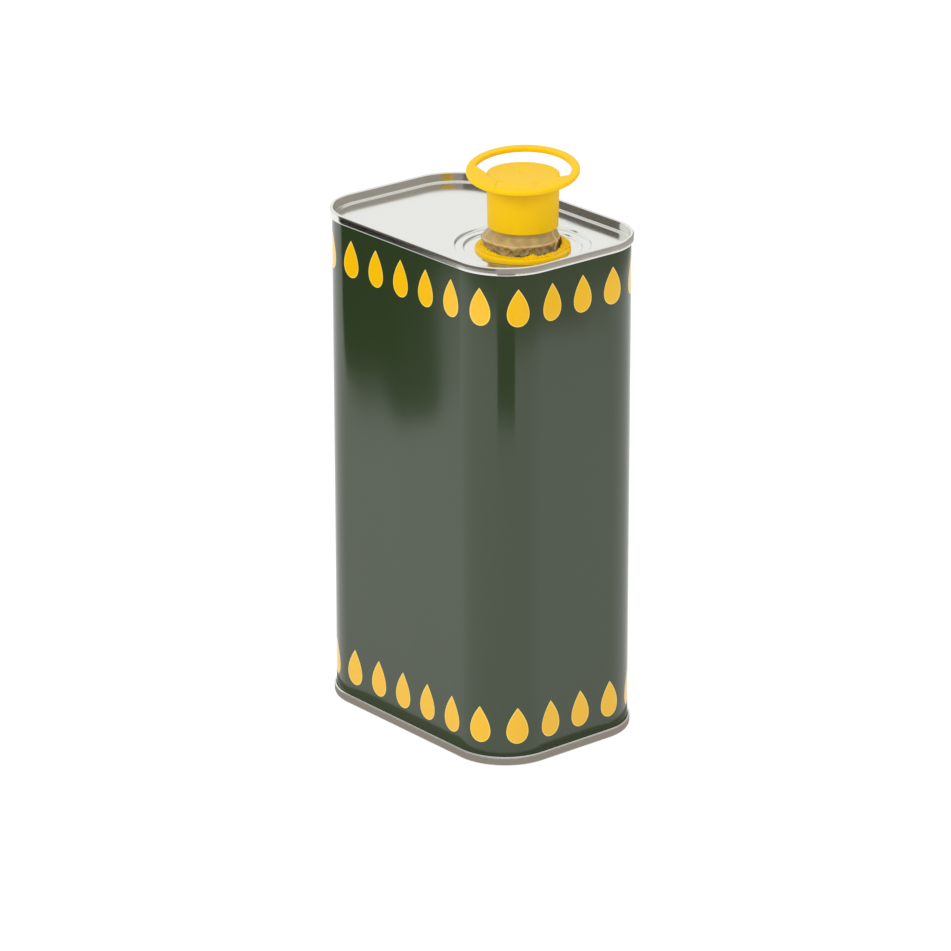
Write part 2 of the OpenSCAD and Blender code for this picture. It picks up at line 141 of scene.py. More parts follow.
class SpoutSizes(PropertyGroup):
    """Lengths of the collar, flexible wall, neck, cap and ring"""

    flange: size("Flange radius", "Outside radius of the collar's flange", 15.9)
    mouth: size("Mouth radius", "Radius of the collar's flared mouth", 13.4)
    bore: size("Bore radius", "Radius of the collar's bore", 12.5)
    film: FloatProperty(
        name="Film height", description="How high the torn film stands, as a share", default=1,
        min=0, max=1.1, subtype="FACTOR",
    )
    sleeve_wall: size("Sleeve wall", "Thickness of the flexible wall", 0.45)
    fold: size("Fold radius", "Radius of the flexible wall at its fold", 12.2)
    fold_height: size("Fold height", "Height of the flexible wall's fold over the seat", 4.4)
    pleat: FloatProperty(
        name="Pleat", description="Where the flexible wall is pleated, from the long axis",
        default=24 * DEGREE, subtype="ANGLE",
    )
    neck: size("Neck radius", "Outside radius of the threaded neck", 9.45)
    pour: size("Pouring radius", "Inside radius of the neck", 8.2)
    shoulder: size("Shoulder radius", "Outside radius of the neck's shoulder", 10.3)
    shoulder_height: size("Shoulder height", "Height of the neck's shoulder", 1.4)
    skirt_low: size("Skirt radius, low", "Outside radius of the cap at its lower edge", 11.65)
    skirt_top: size("Skirt radius, top", "Outside radius of the cap at its top", 12.05)
    cap_bore: size("Cap bore", "Inside radius of the cap", 10.6)
    lead: size("Thread lead", "Rise of the cap for one full turn", 6)
    thread_foot: size("Thread width", "Width of a thread at its foot", 1.3)
    thread_stand: size("Thread height", "How far a thread stands out of its wall", 0.85)
    thread_inset: size("Thread inset", "Depth of the threads under the neck's mouth", 3.2)
    ring: size("Ring radius", "Outside radius of the pull ring", 18.65)
    ring_opening: size("Ring opening", "Radius of the opening in the pull ring", 15.9)
    ring_thick: size("Ring thickness", "Thickness of the pull ring", 1.7)
    hinge: size("Hinge radius", "Distance of the ring's hinge from the cap's axis", 16.4)
    tongue_half: size("Tongue half width", "Half the width of the ring's tongue", 6.5)
    tongue_thick: size("Tongue thickness", "Thickness of the ring's tongue", 1.05)


class TinColours(PropertyGroup):
    """Colours of the materials"""

    varnish: tint("Green varnish", "Ground colour of the printed sheet", "#2B3A1F")
    drop: tint("Drop yellow", "Fill of the printed drops", "#F5BC00")
    drop_edge: tint("Drop edge", "Pale edge of the printed drops", "#FFE164")
    tinplate: tint("Tinplate", "Bright tinplate of the ends", "#E3E4DF")
    yellow: tint("Yellow plastic", "Cap, ring, collar and film", "#FFCD00")
    natural: tint("Natural plastic", "Flexible spout and neck", "#C9AB6C")
    foam: tint("Foam disc", "Sealing disc in the cap", "#ECE9DD")
    compound: tint("Sealing compound", "Compound in the seams", "#B9B6A8")
    paper: tint("Floor", "Floor and backdrop", "#F4F4F4")


def add(tree, kind, inputs=(), **settings):
    """Adds a node with its settings, and sets or links the inputs that are given."""
    node = tree.nodes.new(kind)
    for name, value in settings.items():
        setattr(node, name, value)
    for name, value in dict(inputs).items():
        if isinstance(value, NodeSocket):
            tree.links.new(value, node.inputs[name])
        else:
            node.inputs[name].default_value = value
    return node


def new_material(name):
    """An empty material with its node tree and the tree's output node."""
    material = bpy.data.materials.new(name)
    material.use_nodes = True
    material.node_tree.nodes.clear()
    return material, material.node_tree, add(material.node_tree, "ShaderNodeOutputMaterial")


def linked(name, data):
    """An object at the origin for the data, linked to the scene."""
    made = bpy.data.objects.new(name, data)
    bpy.context.scene.collection.objects.link(made)
    return made


def set_mesh(name, points, faces, texture=None):
    """An object at the origin from points and quads, closed at its poles, facing outwards.

    The signed volume under the quads' diagonals says whether the faces have to be turned.
    """
    mesh = bpy.data.meshes.new(name)
    mesh.from_pydata(points.reshape(-1, 3), [], faces)
    if texture is not None:
        mesh.uv_layers.new(name="Print").data.foreach_set("uv", texture.ravel())
    corners = points.reshape(-1, 3)[faces]
    first = np.cross(corners[:, 1] - corners[:, 0], corners[:, 2] - corners[:, 0])
    second = np.cross(corners[:, 2] - corners[:, 0], corners[:, 3] - corners[:, 0])
    if np.sum(corners[:, 0] * (first + second)) < 0:
        mesh.flip_normals()
    merged = bmesh.new()
    merged.from_mesh(mesh)
    bmesh.ops.remove_doubles(merged, verts=merged.verts, dist=1e-7)
    bmesh.ops.dissolve_degenerate(merged, edges=merged.edges, dist=1e-8)
    merged.to_mesh(mesh)
    merged.free()
    mesh.shade_smooth()
    mesh.set_sharp_from_angle(angle=38 * DEGREE)
    return linked(name, mesh)


def grid(name, points, closed_rows=False, texture=None):
    """A surface over a grid of points, rows by columns, whose columns close on themselves.

    The texture has one row and one column more than the quads need at the closed edges.
    """
    rows, columns = points.shape[:2]
    row = np.arange(rows if closed_rows else rows - 1)[:, None]
    column = np.arange(columns)[None, :]

    def corner(down, along):
        return ((row + down) % rows) * columns + (column + along) % columns

    around = [(0, 0), (1, 0), (1, 1), (0, 1)]
    faces = np.stack([corner(*step) for step in around], -1).reshape(-1, 4)
    if texture is not None:
        wide = texture.shape[1]
        pick = np.stack([(row + down) * wide + column + along for down, along in around], -1)
        texture = texture.reshape(-1, 2)[pick.reshape(-1)]
    return set_mesh(name, points, faces, texture)


def finish_piece(piece, body, nodes, materials):
    """Gives a piece its materials, and lets it ride and stand for CAD nodes."""
    for material in materials:
        piece.data.materials.append(material)
    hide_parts(*nodes)
    if body:
        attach(piece, body)


def rounded(corners, closed=False, steps=5):
    """A flat line through corners (x, y, radius), each corner turned on a tangent arc.

    The arc's centre lies on the corner's bisector at radius / sin(half the corner's angle).
    """
    corners = np.array(corners, float)
    at, radius = corners[:, :2], corners[:, 2]
    back, ahead = np.roll(at, 1, 0) - at, np.roll(at, -1, 0) - at
    back /= np.linalg.norm(back, axis=1, keepdims=True)
    ahead /= np.linalg.norm(ahead, axis=1, keepdims=True)
    half = np.arccos(np.clip(np.sum(back * ahead, 1), -1, 1)) / 2
    if not closed:
        radius = radius.copy()
        radius[[0, -1]] = 0
    middle = back + ahead
    middle /= np.linalg.norm(middle, axis=1, keepdims=True) + 1e-12
    centre = at + middle * (radius / np.sin(half))[:, None]
    sweep = np.pi / 2 - half
    turn = np.linspace(-1, 1, steps)[None, :] * sweep[:, None]
    side = ahead - np.sum(ahead * middle, 1, keepdims=True) * middle
    side /= np.linalg.norm(side, axis=1, keepdims=True) + 1e-12
    arc = centre[:, None] + radius[:, None, None] * (
        -np.cos(turn)[..., None] * middle[:, None] + np.sin(turn)[..., None] * side[:, None]
    )
    keep = np.where(radius[:, None] > 0, True, np.arange(steps)[None, :] == 0)
    return arc[keep]


def finer(line, step):
    """A flat line with points added so that no two lie further apart than step."""
    lengths = np.linalg.norm(np.diff(line, axis=0), axis=1)
    counts = np.maximum(1, np.ceil(lengths / step).astype(int))
    start = np.repeat(np.arange(len(counts)), counts)
    first = np.concatenate([[0], np.cumsum(counts)[:-1]])
    share = (np.arange(counts.sum()) - np.repeat(first, counts)) / np.repeat(counts, counts)
    points = line[start] + (line[start + 1] - line[start]) * share[:, None]
    return np.vstack([points, line[-1]])


def both_sides(line, thickness):
    """The two sides of a flat line, each half a thickness off it along its own normal."""
    along = np.gradient(line, axis=0)
    along /= np.linalg.norm(along, axis=1, keepdims=True)
    normal = np.stack([-along[:, 1], along[:, 0]], 1)
    return line + normal * thickness / 2, line - normal * thickness / 2


def outline_knots(width, depth, radius):
    """Distances, angles and arc centres at which a rounded rectangle changes its course.

    The way starts in the middle of the corner between +X and -Y and runs anticlockwise.
    """
    half_w, half_d, quarter = width / 2 - radius, depth / 2 - radius, np.pi * radius / 2
    lengths = [quarter / 2, 2 * half_d, quarter, 2 * half_w, quarter, 2 * half_d, quarter,
               2 * half_w, quarter / 2]
    distance = np.concatenate([[0], np.cumsum(lengths)])
    angle = np.array([-45, 0, 0, 90, 90, 180, 180, 270, 270, 315]) * DEGREE
    centre_x = half_w * np.array([1, 1, 1, 1, -1, -1, -1, -1, 1, 1])
    centre_y = half_d * np.array([-1, -1, 1, 1, 1, 1, -1, -1, -1, -1])
    return distance, angle, centre_x, centre_y


def around_the_tin(tin, distances):
    """Points on the sheet's outer face and their outward normals, at distances round it."""
    knots, angle, centre_x, centre_y = outline_knots(tin.width, tin.depth, tin.corner)
    facing = np.interp(distances, knots, angle)
    normal = np.stack([np.cos(facing), np.sin(facing)], 1)
    centre = np.stack(
        [np.interp(distances, knots, centre_x), np.interp(distances, knots, centre_y)], 1
    )
    return centre + tin.corner * normal, normal


def stations(tin, corner_steps, side_step, extra=()):
    """Distances round the tin, close together in the corners and wider on the flat sides."""
    knots = outline_knots(tin.width, tin.depth, tin.corner)[0]
    lengths = np.diff(knots)
    straight = np.array([0, 1, 0, 1, 0, 1, 0, 1, 0], bool)
    counts = np.where(straight, np.ceil(lengths / side_step), corner_steps).astype(int)
    counts[[0, -1]] = corner_steps // 2
    spans = [
        np.linspace(low, high, count, endpoint=False)
        for low, high, count in zip(knots[:-1], knots[1:], counts)
    ]
    return np.unique(np.concatenate(spans + [np.array(extra, float)]))


def swept(tin, profile, distances):
    """Carries a profile round the tin: x runs outwards from the sheet, y is the height."""
    at, normal = around_the_tin(tin, distances)
    flat = at[None] + profile[:, :1, None] * normal[None]
    height = np.broadcast_to(profile[:, 1:2], flat.shape[:2])
    return np.dstack([flat, height])


def turned(profile, steps):
    """Spins a profile of radius and height round the spout's axis."""
    angle = np.linspace(0, 2 * np.pi, steps, endpoint=False)
    radius = profile[:, :1] * np.ones(steps)
    return spun(radius, profile[:, 1:] * np.ones(steps), angle)


def spun(radius, height, angle):
    """Points round the spout's axis from tables of radius and height, rows by angles."""
    return np.dstack([SPOUT_X + radius * np.cos(angle), radius * np.sin(angle), height])


def waves(seed, count, *axes):
    """A sum of slow sine waves over the axes with fixed random phases, from about -1 to 1."""
    random = np.random.default_rng(seed)
    total = 0
    for number in range(count):
        pull = random.uniform(-1, 1, len(axes)) * (1 + number / 2)
        phase = random.uniform(0, 2 * np.pi)
        total = total + np.sin(sum(p * a for p, a in zip(pull, axes)) + phase)
    return total / np.sqrt(count)


def smooth_step(value, low, high):
    """Rises from 0 at low to 1 at high with level ends."""
    share = np.clip((value - low) / (high - low), 0, 1)
    return share * share * (3 - 2 * share)


def ridge(angle, height, low, spout):
    """How far a two-start thread stands out, from 0 to 1, at each angle and height.

    Each start climbs one lead from low in its one turn, and fades over the first and the
    last fifteenth of it.
    """
    level, flank = 0, 0.32 * MM
    for start in (0, np.pi):
        turn = ((angle - start) % (2 * np.pi)) / (2 * np.pi)
        off = np.abs(height - low - spout.lead * turn)
        shape = np.clip((spout.thread_foot / 2 - off) / flank, 0, 1)
        fade = np.clip(np.minimum(turn, 1 - turn) * 15, 0, 1)
        level = np.maximum(level, shape * fade)
    return level


def threaded(line, on_wall, stand, low, spout):
    """Spins a line round the spout's axis, with two threads on the points of one wall.

    There the radius grows by stand times the ridge's share; low is where the threads start.
    """
    angle = np.linspace(0, 2 * np.pi, 144, endpoint=False)
    level = ridge(angle[None, :], line[:, 1:], low, spout)
    radius = line[:, :1] + stand * level * on_wall[:, None]
    return spun(radius, np.broadcast_to(line[:, 1:], radius.shape), angle)


# Materials


def drop_mask(tree, across, under_tip, width, height):
    """1 inside a drop: half its width is 1.3 * c * sqrt(1 - c) * width at the share c of its
    height below the tip, so its sides run straight from the tip into a round foot."""
    blur = 0.12 * MM
    share = add(
        tree, "ShaderNodeMath", {0: under_tip, 1: height}, operation="DIVIDE", use_clamp=True
    ).outputs[0]
    rest = add(tree, "ShaderNodeMath", {0: 1.0, 1: share}, operation="SUBTRACT").outputs[0]
    root = add(tree, "ShaderNodeMath", {0: rest}, operation="SQRT").outputs[0]
    product = add(tree, "ShaderNodeMath", {0: share, 1: root}, operation="MULTIPLY").outputs[0]
    half = add(
        tree, "ShaderNodeMath", {0: product, 1: 1.3 * width}, operation="MULTIPLY"
    ).outputs[0]
    inside = add(tree, "ShaderNodeMath", {0: half, 1: across}, operation="SUBTRACT").outputs[0]
    return add(
        tree, "ShaderNodeMath", {0: inside, 1: blur}, operation="DIVIDE", use_clamp=True
    ).outputs[0]


def lithographed_tinplate(tin, prints, colours):
    """Tinplate printed in green and yellow and varnished: deep even colour under a smooth
    clear gloss, which mirrors pale surroundings softly and keeps the sheet's fine grain."""
    material, tree, output = new_material("Lithographed tinplate, varnished")
    length = outline_knots(tin.width, tin.depth, tin.corner)[0][-1]
    pitch = length / prints.drops
    texture = add(tree, "ShaderNodeUVMap", uv_map="Print").outputs[0]
    # The UV map holds the way round the tin and up it, both divided by the whole way round
    metres = add(
        tree, "ShaderNodeVectorMath", {0: texture, 1: (length,) * 3}, operation="MULTIPLY"
    ).outputs[0]
    along, upwards = add(tree, "ShaderNodeSeparateXYZ", {0: metres}).outputs[:2]
    shifted = add(
        tree, "ShaderNodeMath", {0: along, 1: prints.first}, operation="SUBTRACT"
    ).outputs[0]
    within = add(
        tree, "ShaderNodeMath", {0: shifted, 1: pitch / 2, 2: -pitch / 2}, operation="WRAP"
    ).outputs[0]
    across = add(tree, "ShaderNodeMath", {0: within}, operation="ABSOLUTE").outputs[0]
    apart = prints.high_tip - prints.low_tip
    in_row = add(
        tree, "ShaderNodeMath", {0: upwards, 1: apart}, operation="MODULO"
    ).outputs[0]
    under_tip = add(
        tree, "ShaderNodeMath", {0: prints.low_tip, 1: in_row}, operation="SUBTRACT"
    ).outputs[0]
    drop = drop_mask(tree, across, under_tip, prints.drop_width, prints.drop_height)
    inner_tip = add(
        tree, "ShaderNodeMath", {0: under_tip, 1: 2 * prints.edge}, operation="SUBTRACT"
    ).outputs[0]
    fill = drop_mask(
        tree, across, inner_tip, prints.drop_width - 2 * prints.edge,
        prints.drop_height - 3 * prints.edge,
    )
    yellow = add(
        tree, "ShaderNodeMix",
        {0: fill, 6: (*colours.drop_edge, 1), 7: (*colours.drop, 1)}, data_type="RGBA",
    ).outputs[2]
    ink = add(
        tree, "ShaderNodeMix", {0: drop, 6: (*colours.varnish, 1), 7: yellow}, data_type="RGBA"
    ).outputs[2]
    place = add(tree, "ShaderNodeTexCoord").outputs["Object"]
    # Nine grains in 10 mm, coarser than the real ones, which wouldn't show
    grain = add(
        tree, "ShaderNodeTexNoise", {"Vector": place, "Scale": 9 / (10 * MM), "Detail": 2.0}
    )
    bump = add(
        tree, "ShaderNodeBump",
        {"Strength": 0.05, "Distance": 0.02 * MM, "Height": grain.outputs[0]},
    )
    shader = add(
        tree, "ShaderNodeBsdfPrincipled",
        {"Base Color": ink, "Roughness": 0.11, "IOR": 1.6, "Normal": bump.outputs[0]},
    )
    tree.links.new(shader.outputs[0], output.inputs[0])
    return material


def bright_tinplate(colours):
    """Electrolytic tinplate, rolled and flow-brightened: a pale, slightly warm metal whose
    clear reflections are a little softer along faint rolling lines on the tin's long side."""
    material, tree, output = new_material("Bright tinplate, rolled")
    place = add(tree, "ShaderNodeTexCoord").outputs["Object"]
    # Rolling lines 0.3 mm apart, 33 in 10 mm, and some 12.5 mm long
    across = 33 / (10 * MM)
    along = add(
        tree, "ShaderNodeMapping", {"Vector": place, "Scale": (1 / (12.5 * MM), across, across)}
    ).outputs[0]
    lines = add(tree, "ShaderNodeTexNoise", {"Vector": along, "Scale": 1.0, "Detail": 3.0})
    rough = add(
        tree, "ShaderNodeMapRange",
        {"Value": lines.outputs[0], "To Min": 0.1, "To Max": 0.17},
    ).outputs[0]
    bump = add(
        tree, "ShaderNodeBump",
        {"Strength": 0.03, "Distance": 0.01 * MM, "Height": lines.outputs[0]},
    ).outputs[0]
    shader = add(
        tree, "ShaderNodeBsdfPrincipled",
        {"Base Color": (*colours.tinplate, 1), "Metallic": 1.0, "Roughness": rough,
         "Normal": bump},
    )
    tree.links.new(shader.outputs[0], output.inputs[0])
    return material


def lacquered_tinplate(colours):
    """The inside of the sheet under a clear food lacquer: bare metal with a warm tone."""
    material, tree, output = new_material("Tinplate, lacquered inside")
    warm = tuple(c * k for c, k in zip(colours.tinplate, (0.95, 0.88, 0.7)))
    shader = add(
        tree, "ShaderNodeBsdfPrincipled",
        {"Base Color": (*warm, 1), "Metallic": 1.0, "Roughness": 0.3},
    )
    tree.links.new(shader.outputs[0], output.inputs[0])
    return material


def moulded_plastic(name, colour, roughness, subsurface, grain, transmission=0.0, relief=0.05):
    """Injection-moulded polyethylene: waxy and satin, with soft light inside it, and the
    fine pebbled grain of a spark-eroded mould. The grain is the metres between its pits, and
    the relief the millimetres that they are deep."""
    material, tree, output = new_material(name)
    place = add(tree, "ShaderNodeTexCoord").outputs["Object"]
    pits = add(tree, "ShaderNodeTexNoise", {"Vector": place, "Scale": 1 / grain, "Detail": 2.0})
    bump = add(
        tree, "ShaderNodeBump",
        {"Strength": 5 * relief, "Distance": relief * MM, "Height": pits.outputs[0]},
    ).outputs[0]
    shader = add(
        tree, "ShaderNodeBsdfPrincipled",
        {"Base Color": (*colour, 1), "Roughness": roughness, "IOR": 1.51,
         "Specular IOR Level": 0.22, "Subsurface Weight": subsurface,
         "Subsurface Radius": (1.0, 0.6, 0.2), "Subsurface Scale": 1.2 * MM,
         "Transmission Weight": transmission, "Normal": bump},
    )
    tree.links.new(shader.outputs[0], output.inputs[0])
    return material


def plain_material(name, colour, roughness):
    """A dull even surface, such as rubbery compound or foam."""
    material, tree, output = new_material(name)
    shader = add(
        tree, "ShaderNodeBsdfPrincipled", {"Base Color": (*colour, 1), "Roughness": roughness}
    )
    tree.links.new(shader.outputs[0], output.inputs[0])
    return material


def crumpled_plastic(spout, colours):
    """Flexible unpigmented polyethylene, creased each time the spout is pushed in: milky and
    satin, pale along its fold and pleat, partly stress-whitened and partly a painted highlight,
    with painted shade in the tier under the fold and in the hollows of the creases."""
    material, tree, output = new_material("Natural polyethylene, flexible")
    place = add(tree, "ShaderNodeTexCoord").outputs["Object"]
    # The UV map holds the share of the way round, and at rest the height over the spout's
    # seat in centimetres
    texture = add(tree, "ShaderNodeUVMap", uv_map="Print").outputs[0]
    around, height = add(tree, "ShaderNodeSeparateXYZ", {0: texture}).outputs[:2]
    # Three creases in 10 mm
    creases = add(
        tree, "ShaderNodeTexNoise",
        {"Vector": place, "Scale": 3 / (10 * MM), "Detail": 3.0, "Roughness": 0.6},
    ).outputs[0]
    # Painted shade: the colours are darker where the crease noise is low, in the creases'
    # hollows
    crests_out_of_painted_shade = add(
        tree, "ShaderNodeMapRange", {"Value": creases, "From Min": 0.42, "From Max": 0.6}
    ).outputs[0]
    # Shares of the clean plastic's red, green and blue: under the fold, in painted shade, in the
    # creases' hollows and on their crests; above the fold, in the hollows (a lighter painted
    # shade) and on the crests; and the fold's pale band, partly stress-whitening and partly a
    # painted highlight
    grey, shaded_olive, dull, clean, pale = (
        (*(c * k for c, k in zip(colours.natural, share)), 1)
        for share in ((0.46, 0.55, 0.9), (0.86, 0.86, 0.72), (0.84, 0.88, 0.92),
                      (1.08, 1.05, 1.0), (1.4, 1.42, 1.9))
    )
    # Colours under the fold, in painted shade, and above it
    low, high = (
        add(tree, "ShaderNodeMix", {0: crests_out_of_painted_shade, 6: one, 7: other}, data_type="RGBA").outputs[2]
        for one, other in ((grey, shaded_olive), (dull, clean))
    )
    fold = spout.fold_height / (10 * MM)
    # The tier under the fold takes the painted shade
    above_painted_shade = add(
        tree, "ShaderNodeMapRange",
        {"Value": height, "From Min": fold - 0.1, "From Max": fold - 0.03},
    ).outputs[0]
    base = add(
        tree, "ShaderNodeMix", {0: above_painted_shade, 6: low, 7: high}, data_type="RGBA"
    ).outputs[2]
    # A pale band along the fold's crest and down the pleat: partly stress-whitening, partly a
    # painted highlight
    fold_whitening_and_highlight = add(
        tree, "ShaderNodeMath", {0: height, 1: fold - 0.01, 2: 0.035}, operation="COMPARE"
    ).outputs[0]
    pleat_whitening_and_highlight = add(
        tree, "ShaderNodeMath", {0: around, 1: spout.pleat / (2 * np.pi), 2: 0.007},
        operation="COMPARE",
    ).outputs[0]
    whitening_and_highlight = add(
        tree, "ShaderNodeMath", {0: fold_whitening_and_highlight, 1: pleat_whitening_and_highlight}, operation="MAXIMUM"
    ).outputs[0]
    base = add(
        tree, "ShaderNodeMix", {0: whitening_and_highlight, 6: base, 7: pale}, data_type="RGBA"
    ).outputs[2]
    bump = add(
        tree, "ShaderNodeBump", {"Strength": 0.3, "Distance": 0.1 * MM, "Height": creases}
    ).outputs[0]
    shader = add(
        tree, "ShaderNodeBsdfPrincipled",
        {"Base Color": base, "Roughness": 0.38, "IOR": 1.51, "Transmission Weight": 0.15,
         "Subsurface Weight": 0.15, "Subsurface Radius": (1.0, 0.8, 0.5),
         "Subsurface Scale": 0.8 * MM, "Normal": bump},
    )
    tree.links.new(shader.outputs[0], output.inputs[0])
    return material


# Pieces


class OILTIN_OT_printed_sheet(Operator):
    """Builds the printed sheet: four sides, upright weld and both hooks"""

    bl_idname = "oiltin.printed_sheet"
    bl_label = "Printed Sheet"

    def execute(self, context):
        scene = context.scene
        tin, prints, colours = scene.oiltin_tin, scene.oiltin_prints, scene.oiltin_colours
        half = tin.plate / 2
        hook_x = 2 * tin.plate + 2 * FOLD_GAP - half
        under_crest, in_seam, bend = 0.37 * MM + half, 0.4 * MM, 0.2 * MM
        top, low = TIN_TOP - under_crest, under_crest
        # Centre line of the sheet: bottom hook, wall, top hook
        line = rounded(
            [(hook_x, tin.bottom_seam - in_seam, 0), (hook_x, low, bend), (-half, low, bend),
             (-half, top, bend), (hook_x, top, bend),
             (hook_x, TIN_TOP - tin.top_seam + in_seam, 0)], steps=4,
        )
        line = finer(line, 2.6 * MM)
        outer, inner = both_sides(line, tin.plate)
        # The weld runs up the middle of the far narrow side
        weld = outline_knots(tin.width, tin.depth, tin.corner)[0][5:7].mean()
        beside = np.array([-0.9, -0.75, -0.6, 0, 0.6, 0.75, 0.9]) * MM
        distance = stations(tin, 24, 1.6 * MM, weld + beside)
        profile = np.vstack([inner, outer[::-1]])
        points = swept(tin, profile, distance)
        # The flat sides bow in and out in slow waves, which die away at seams and corners,
        # and the sheet's edges lap by 1.3 mm at the weld
        _, normal = around_the_tin(tin, distance)
        height = profile[:, 1][:, None]
        flat = np.max(np.abs(normal), 1)[None, :] ** 8
        upright = smooth_step(height, 3 * MM, 22 * MM) * smooth_step(
            TIN_TOP - height, 3 * MM, 22 * MM
        )
        swing = waves(7, 9, height / (26 * MM), distance[None, :] / (15 * MM))
        off = tin.wave * flat * upright * (swing - 1)
        lap = 0.15 * MM * smooth_step(0.85 * MM - np.abs(distance - weld), 0, 0.2 * MM)[None, :]
        off = off + lap * smooth_step(height, 3.5 * MM, 3.7 * MM) * smooth_step(
            TIN_TOP - height, 3 * MM, 3.2 * MM
        )
        points[:, :, :2] += off[..., None] * normal[None]
        whole = outline_knots(tin.width, tin.depth, tin.corner)[0][-1]
        across = np.append(distance, whole) / whole
        upwards = np.append(profile[:, 1], profile[0, 1]) / whole
        texture = np.dstack(np.broadcast_arrays(across[None, :], upwards[:, None]))
        piece = grid("printed_sheet", points, closed_rows=True, texture=texture)
        finish_piece(
            piece, "tin", ["tin_body"],
            [lithographed_tinplate(tin, prints, colours), lacquered_tinplate(colours)],
        )
        inward = faces_looking_in(piece, tin)
        piece.data.polygons.foreach_set("material_index", inward.astype(np.int32))
        return {"FINISHED"}


def faces_looking_in(piece, tin):
    """Whether each face of the sheet lies inside the line halfway through its thickness."""
    mesh = piece.data
    centre = np.empty(3 * len(mesh.polygons))
    normal = np.empty(3 * len(mesh.polygons))
    mesh.polygons.foreach_get("center", centre)
    mesh.polygons.foreach_get("normal", normal)
    centre, normal = centre.reshape(-1, 3), normal.reshape(-1, 3)
    core = np.array([tin.width / 2 - tin.corner, tin.depth / 2 - tin.corner])
    outward = centre[:, :2] - np.clip(centre[:, :2], -core, core)
    return np.sum(outward * normal[:, :2], 1) < 0


def folded_end(tin, fold, ledge, ledge_reach, panel, foot):
    """Both sides of an end plate from its hook through the seam and wall to its panel.

    Heights count down from the seam's crest; x runs outwards from the sheet. The third
    value says where the panel starts.
    """
    half = tin.plate / 2
    hook, hook_end = FOLD_GAP + half, -0.77 * MM
    apron = SEAM_OUT - tin.width / 2 - half
    wall = -FOLD_GAP - 2 * tin.plate + half
    tight, wide = 0.26 * MM, 0.42 * MM
    edge = wall - half - ledge_reach
    line = rounded(
        [(hook, hook_end, 0), (hook, half - fold, tight), (apron, half - fold, tight),
         (apron, -half, wide), (wall, -half, wide), (wall, -ledge - half, 0.4 * MM),
         (edge, -ledge - half - 0.05 * MM, 0.5 * MM), (edge - foot, -panel - half, 1.2 * MM),
         (edge - foot - 0.3 * MM, -panel - half, 0)], steps=7,
    )
    line = finer(line, 0.8 * MM)
    one, other = both_sides(line, tin.plate)
    upper, lower = (one, other) if one[-1, 1] > other[-1, 1] else (other, one)
    return upper, lower, line[-1, 0]


def panel_wave(x, y):
    """Slow waves of a stamped panel, a few hundredths of a millimetre high."""
    return 0.05 * MM * waves(3, 7, x / (13 * MM), y / (13 * MM))


class OILTIN_OT_lid(Operator):
    """Builds the top end: folded seam, wall, ledge, stamped panel and the spout's hole"""

    bl_idname = "oiltin.lid"
    bl_label = "Top End"

    def execute(self, context):
        scene = context.scene
        tin, colours = scene.oiltin_tin, scene.oiltin_colours
        ledge_reach, slope = 0.6 * MM, 0.9 * MM
        upper, lower, panel_start = folded_end(
            tin, tin.top_seam, tin.ledge_depth, ledge_reach, tin.panel_depth, slope
        )
        distance = stations(tin, 22, 1.8 * MM)
        edge, normal = around_the_tin(tin, distance)
        edge = edge + panel_start * normal
        centre = np.array([SPOUT_X, 0])
        seat = TIN_TOP - tin.panel_depth - tin.seat_depth
        way = edge - centre
        reach = np.linalg.norm(way, axis=1)
        way /= reach[:, None]
        # The panel runs in along rays from its edge to the hole, with its rows close together
        # over the seat's steps
        flat_to, hole = 23 * MM, tin.hole
        out = np.linspace(0, 1, 18)[1:, None] * (flat_to - reach) + reach
        inside = np.concatenate(
            [np.linspace(22.95, 18.2, 38), np.linspace(17.8, 14.9, 5), [14.6, 14.35]]
        ) * MM
        radius = np.vstack([out, np.repeat(inside[:, None], len(distance), 1)])
        flat = centre + radius[..., None] * way[None]
        level = TIN_TOP - tin.panel_depth + stepped_seat(radius, tin)
        fade_in = 6 * MM
        fade = smooth_step(reach - radius, 0, fade_in)
        fade = fade * smooth_step(radius, flat_to, flat_to + fade_in)
        level = level + fade * panel_wave(flat[..., 0], flat[..., 1])
        top = np.dstack([flat, level])
        under = np.dstack([flat, level - tin.plate])[::-1]
        # The hole's lip is turned down on a small radius
        bend, lip_radius, lip_end = np.linspace(0, np.pi / 2, 5), 0.3 * MM, -1.2 * MM
        lip_out = np.stack([hole + lip_radius * (1 - np.sin(bend)),
                            -lip_radius * (1 - np.cos(bend))], 1)
        lip = np.vstack([lip_out, [(hole, lip_end), (hole + tin.plate, lip_end),
                                   (hole + tin.plate, -lip_radius - 0.05 * MM)]])
        lip_points = np.dstack([
            centre + lip[:, :1, None] * way[None],
            np.broadcast_to(seat + lip[:, 1:], (len(lip), len(way))),
        ])
        lift = np.array([0, TIN_TOP])
        points = np.concatenate([
            swept(tin, upper + lift, distance), top, lip_points, under,
            swept(tin, lower[::-1] + lift, distance),
        ])
        piece = grid("top_end_plate", points, closed_rows=True)
        finish_piece(piece, "tin", ["top_end"], [bright_tinplate(colours)])
        return {"FINISHED"}


def stepped_seat(radius, tin):
    """Height of the spout's seat over the panel: two equal rounded steps down to it."""
    half = 0.35 * MM
    outer = smooth_step(radius, tin.step_out - half, tin.step_out + half)
    inner = smooth_step(radius, tin.step_in - half, tin.step_in + half)
    return tin.seat_depth * ((outer + inner) / 2 - 1)


